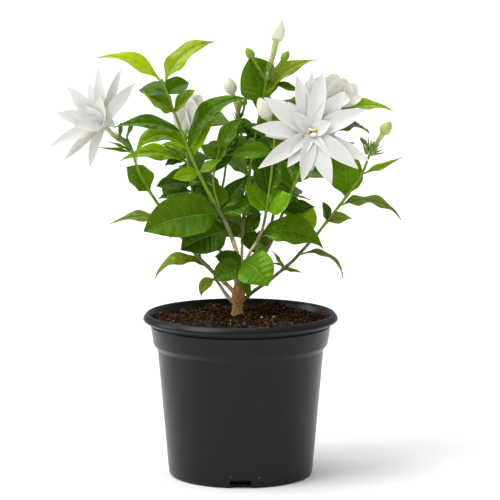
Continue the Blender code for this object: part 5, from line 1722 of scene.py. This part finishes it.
def add_bump(tree, shader, scale, strength, distance, **options):
    speck = add_noise(tree, scale, **options)
    bump = tree.nodes.new("ShaderNodeBump")
    bump.inputs["Strength"].default_value = strength
    bump.inputs["Distance"].default_value = distance
    tree.links.new(speck.outputs["Fac"], bump.inputs["Height"])
    tree.links.new(bump.outputs["Normal"], shader.inputs["Normal"])


def vary_roughness(tree, shader, low, high, scale):
    speck = add_noise(tree, scale, detail=2.0)
    spread = tree.nodes.new("ShaderNodeMapRange")
    spread.inputs["To Min"].default_value = low
    spread.inputs["To Max"].default_value = high
    tree.links.new(speck.outputs["Fac"], spread.inputs["Value"])
    tree.links.new(spread.outputs["Result"], shader.inputs["Roughness"])


def shaded(colour, share):
    return tuple(value * share for value in colour)


def mixed(colour, other, share):
    return tuple(a + (b - a) * share for a, b in zip(colour, other))


def let_through(shader, share, depth):
    """Lets part of the light wander through a thin blade to its other side."""
    shader.inputs["Subsurface Weight"].default_value = share
    shader.inputs["Subsurface Radius"].default_value = (1.0, 1.0, 0.9)
    shader.inputs["Subsurface Scale"].default_value = depth


def leaf_material(name, colour, gloss=0.20):
    made, tree, shader = shader_of(name, gloss, 0.42)
    shader.inputs["Specular Tint"].default_value = (0.50, 1.0, 0.15, 1.0)
    mottle(tree, shader, (shaded(colour, 0.74), colour, shaded(colour, 1.26)), 60, detail=5.0)
    add_bump(tree, shader, 210, 0.55, 0.00070, detail=3.0)
    vary_roughness(tree, shader, gloss - 0.08, gloss + 0.16, 150)
    let_through(shader, 0.18, 0.0020)
    return made


def plain_material(
    name, colour, roughness, scale=300, spread=0.2, bump=0.2, depth=0.0001, specular=0.5, squash=1
):
    """Mottled colour with a fine bump, drawn out along the stem where squash is below one."""
    made, tree, shader = shader_of(name, roughness, specular)
    colours = (shaded(colour, 1 - spread), colour, shaded(colour, 1 + spread))
    mottle(tree, shader, colours, scale, detail=4.0, stretch=(1, 1, squash))
    add_bump(tree, shader, scale * 4, bump, depth, detail=3.0, stretch=(1, 1, squash))
    return made


# Colours of the leaves by look, then those that their undersides and veins lean towards
# bright, mid and dark are one green at three strengths, and pale is the young green dimmed; the listed leaves
# take them after how light or dark each shows, so they carry painted light and shade as well as the leaves' own
# tones
GREENS = {
    "young": (0.340, 0.435, 0.003),
    "lime": (0.175, 0.310, 0.001),
    "fresh": (0.130, 0.300, 0.001),
    "bright": (0.072, 0.180, 0.001),
    "mid": (0.051, 0.125, 0.001),
    "dark": (0.024, 0.065, 0.001),
    "olive": (0.150, 0.210, 0.008),
    "grey": (0.125, 0.178, 0.016),
    "pale": (0.235, 0.325, 0.016),
}
UNDERSIDE_GREEN = (0.17, 0.28, 0.04)
VEIN_GREEN = (0.30, 0.42, 0.08)


def green_materials():
    """Four looks for each green: upper side, underside, midrib and side veins."""
    made = []
    for name in LEAF_LOOKS:
        top = GREENS[name]
        made.append(leaf_material(f"leaf_{name}", top))
        made.append(leaf_material(f"leaf_{name}_underside", mixed(top, UNDERSIDE_GREEN, 0.30), 0.50))
        made.append(leaf_material(f"leaf_{name}_midrib", mixed(top, VEIN_GREEN, 0.38), 0.40))
        made.append(leaf_material(f"leaf_{name}_vein", mixed(top, VEIN_GREEN, 0.09), 0.40))
    return made


def stem_materials():
    return [
        plain_material("twig_bark", (0.250, 0.205, 0.105), 0.75, 500, 0.3, 0.5, 0.0002, 0.2, 0.3),
        plain_material("twig_olive", (0.130, 0.150, 0.040), 0.6, 400, 0.3, 0.4, 0.0001, 0.25),
        plain_material("twig_green", (0.170, 0.290, 0.010), 0.5, 300, 0.2, 0.3, 0.0001, 0.3),
        plain_material("twig_dark", (0.095, 0.180, 0.006), 0.5, 300, 0.2, 0.3, 0.0001, 0.3),
        plain_material("flower_tube", (0.440, 0.530, 0.170), 0.5, 250, 0.12),
        # Greenish cream of each tube's flared end: partly the tube's own tint, partly painted shade
        plain_material("tube_flare_cream_and_shade", (0.620, 0.650, 0.440), 0.5, 250, 0.06),
    ]


# Dark, middle and light tone of each bark and of each kind of crumb and fibre
BARKS = {
    "trunk_bark": ((0.190, 0.085, 0.028), (0.520, 0.250, 0.090), (0.720, 0.430, 0.200)),
    "bough_bark": ((0.300, 0.230, 0.100), (0.640, 0.520, 0.290), (0.840, 0.740, 0.500)),
    "low_bough_bark": ((0.060, 0.052, 0.014), (0.150, 0.135, 0.040), (0.260, 0.230, 0.085)),
}
PEATS = {
    "peat": ((0.006, 0.0030, 0.0014), (0.028, 0.0135, 0.0058), (0.075, 0.040, 0.019)),
    # The second peat is near-black: painted shade on the soil's sides down inside the pot, seen through the
    # notches
    "peat_deep": ((0.0008, 0.0006, 0.0004), (0.0016, 0.0011, 0.0008), (0.0026, 0.0018, 0.0012)),
}
CRUMBS = {
    "crumb_dark": ((0.004, 0.002, 0.0010), (0.013, 0.0063, 0.0030), (0.030, 0.0155, 0.0080)),
    "crumb_brown": ((0.018, 0.009, 0.0036), (0.055, 0.027, 0.0115), (0.120, 0.063, 0.0290)),
    "crumb_tan": ((0.055, 0.027, 0.0120), (0.130, 0.070, 0.0320), (0.240, 0.140, 0.0700)),
}
FIBRES = {
    "fibre_brown": ((0.040, 0.020, 0.010), (0.110, 0.060, 0.028), (0.180, 0.110, 0.055)),
    "fibre_tan": ((0.150, 0.085, 0.040), (0.260, 0.160, 0.080), (0.380, 0.260, 0.150)),
    "fibre_dark": ((0.010, 0.005, 0.002), (0.030, 0.015, 0.007), (0.060, 0.032, 0.016)),
}
PLASTIC_TONES = ((0.0052, 0.0052, 0.0053), (0.0060, 0.0060, 0.0061), (0.0070, 0.0070, 0.0071))


def bark_material(name, tones):
    made, tree, shader = shader_of(name, 0.85, 0.25)
    mottle(tree, shader, tones, 620, detail=6.0, rough=0.65, stretch=(1, 1, 0.45))
    add_bump(tree, shader, 1500, 0.7, 0.0003, detail=5.0, stretch=(1, 1, 0.4))
    return made


def peat_material(name, tones):
    made, tree, shader = shader_of(name, 0.95, 0.06)
    mottle(tree, shader, tones, 700, detail=6.0, rough=0.7)
    add_bump(tree, shader, 1800, 0.9, 0.0004, detail=4.0)
    return made


def looks_of(make, tones):
    return [make(name, colours) for name, colours in tones.items()]


def plastic_material():
    made, tree, shader = shader_of("pot_plastic", 0.28, 0.22)
    mottle(tree, shader, PLASTIC_TONES, 60, detail=5.0)
    add_bump(tree, shader, 2200, 0.08, 0.00006, detail=2.0)
    vary_roughness(tree, shader, 0.24, 0.36, 90)
    return made


def petal_material(name, colour, roughness=0.5, through=0.0):
    made, tree, shader = shader_of(name, roughness, 0.3)
    mottle(tree, shader, (shaded(colour, 0.965), colour, shaded(colour, 1.01)), 220, detail=3.0)
    add_bump(tree, shader, 900, 0.12, 0.0001, detail=3.0)
    if through:
        let_through(shader, through, 0.0012)
    return made


def petal_materials():
    return [
        petal_material("petal_white", (0.73, 0.72, 0.69), through=0.25),
        petal_material("petal_cream", (0.83, 0.82, 0.72), through=0.25),
        petal_material("petal_shaded", (0.68, 0.67, 0.62), through=0.25),
    ]


def bud_materials():
    return [
        petal_material("bud_cream", (0.79, 0.78, 0.62)),
        petal_material("bud_base", (0.60, 0.60, 0.36)),
        petal_material("bud_yellow", (0.46, 0.50, 0.13)),
        petal_material("bud_green", (0.20, 0.33, 0.02)),
        petal_material("bud_dark", (0.085, 0.16, 0.012)),
    ]


# Stage: half the floor's width, and the photo's camera
FLOOR_REACH = 40.0
CAMERA_PLACE = (0.00625, -1.6, 0.3681)
CAMERA_DIP = 7.73
CAMERA_LENS = 175.0


def make_floor():
    corners = [(x * FLOOR_REACH, y * FLOOR_REACH, 0) for x, y in ((-1, -1), (1, -1), (1, 1), (-1, 1))]
    floor = mesh_object("floor", corners, [(0, 1, 2, 3)])
    made, _, shader = shader_of("floor_paper", 0.9, 0.1)
    shader.inputs["Base Color"].default_value = (0.93, 0.93, 0.93, 1.0)
    floor.data.materials.append(made)


# The room's light from below and from above, then each lamp's tilt, turn, strength and width
ROOM_LOW = 0.26
ROOM_HIGH = 0.72
LAMPS = {
    "key": (43, -61, 1.50, 34),
    "ceiling": (14, -120, 1.55, 70),
    "window": (66, -105, 0.50, 24),
}


def make_light():
    """A dim even room and three wide lamps so far off that the floor is lit the same all over."""
    world = bpy.data.worlds.new("studio")
    bpy.context.scene.world = world
    world.use_nodes = True
    tree = world.node_tree
    places = tree.nodes.new("ShaderNodeTexCoord")
    parts = tree.nodes.new("ShaderNodeSeparateXYZ")
    height = tree.nodes.new("ShaderNodeMapRange")
    height.inputs["From Min"].default_value = 0.0
    height.inputs["To Min"].default_value = ROOM_LOW
    height.inputs["To Max"].default_value = ROOM_HIGH
    tree.links.new(places.outputs["Generated"], parts.inputs["Vector"])
    tree.links.new(parts.outputs["Z"], height.inputs["Value"])
    tree.links.new(height.outputs["Result"], tree.nodes["Background"].inputs["Strength"])
    tree.nodes["Background"].inputs["Color"].default_value = (1.0, 1.0, 1.0, 1.0)
    for name, (tilt, turn, strength, width) in LAMPS.items():
        light = bpy.data.lights.new(name, "SUN")
        light.energy = strength
        light.angle = radians(width)
        add_object(name, light).rotation_euler = (radians(tilt), 0.0, radians(turn))


def make_camera():
    data = bpy.data.cameras.new("camera")
    data.lens = CAMERA_LENS
    data.sensor_width = 36.0
    data.clip_start = 0.05
    data.clip_end = 200.0
    camera = add_object("camera", data)
    camera.location = CAMERA_PLACE
    camera.rotation_euler = (radians(90 - CAMERA_DIP), 0.0, 0.0)
    bpy.context.scene.camera = camera


def show(piece, slot, *nodes):
    """Rides a piece on the root body, in place of the nodes; its slot is not used."""
    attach(piece, "root")
    if nodes:
        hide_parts(*nodes)


def show_leaves(paths, planned, twigs, draw):
    """One piece of leaves for each mass, in its place; the leaves' stalks join the twigs."""
    greens = green_materials()
    for mass in dict.fromkeys(plan.mass for plan in SHOOTS.values()):
        batch = Batch(mass.replace("foliage", "leaves"), greens)
        for name in (name for name, plan in SHOOTS.items() if plan.mass == mass):
            for leaf, form in planned[name]:
                if form is shown_leaf:
                    add_leaf(batch, twigs, paths[name], leaf, FRONT, draw, SHOWN_LOOSE)
                else:
                    outwards = unit(along(paths[name], leaf.place)[0] * (1, 1, 0))
                    add_leaf(batch, twigs, paths[name], leaf, outwards, draw)
        show(batch.build(), "foliage", mass)


def show_plant(draw):
    """Leaves, twigs, flowers, buds and limbs."""
    limbs = {name: smooth_path([plan.foot, plan.bend, plan.tip]) for name, plan in BOUGHS.items()}
    paths = shoot_paths(limbs)
    planned = plan_leaves(paths)
    twigs = make_twigs(paths, planned, stem_materials())
    show_leaves(paths, planned, twigs, draw)
    calyx = plain_material("calyx_green", (0.16, 0.27, 0.03), 0.5)
    white = petal_material("curl_white", (0.86, 0.85, 0.76))
    gold = petal_material("curl_gold", (0.72, 0.62, 0.30))
    for batch in (
        twigs,
        make_flowers(petal_materials(), draw),
        make_buds(paths, bud_materials(), draw),
        make_small_greens(paths, [calyx], draw),
        make_stamens([white, gold]),
    ):
        show(batch.build(), "foliage")
    show(make_limbs(looks_of(bark_material, BARKS)).build(), "bark", "trunk", *BOUGHS)


def show_soil(draw):
    """The soil with its crumbs, fibres, grains and root ends."""
    perlite = petal_material("perlite", (0.62, 0.60, 0.55), 0.9)
    root = petal_material("root_pale", (0.52, 0.44, 0.30), 0.8)
    show(make_soil_body(looks_of(peat_material, PEATS)).build(), "soil", "soil")
    show(make_crumbs(looks_of(peat_material, CRUMBS), draw).build(), "soil")
    show(make_fibres(looks_of(peat_material, FIBRES), draw).build(), "soil")
    show(make_flecks([perlite, root], draw).build(), "soil")


def show_pot():
    plastic = plastic_material()
    show(make_pot(plastic), "pot", "pot")
    show(make_pot_marks([plastic]).build(), "pot")
    show(make_pot_flecks([petal_material("pot_fleck", (0.20, 0.19, 0.17), 0.8)]).build(), "pot")


def main():
    bpy.context.scene.view_settings.view_transform = "Standard"
    make_camera()
    make_floor()
    make_light()
    draw = random.Random(SEED + 1)
    show_plant(draw)
    show_soil(draw)
    show_pot()


main()
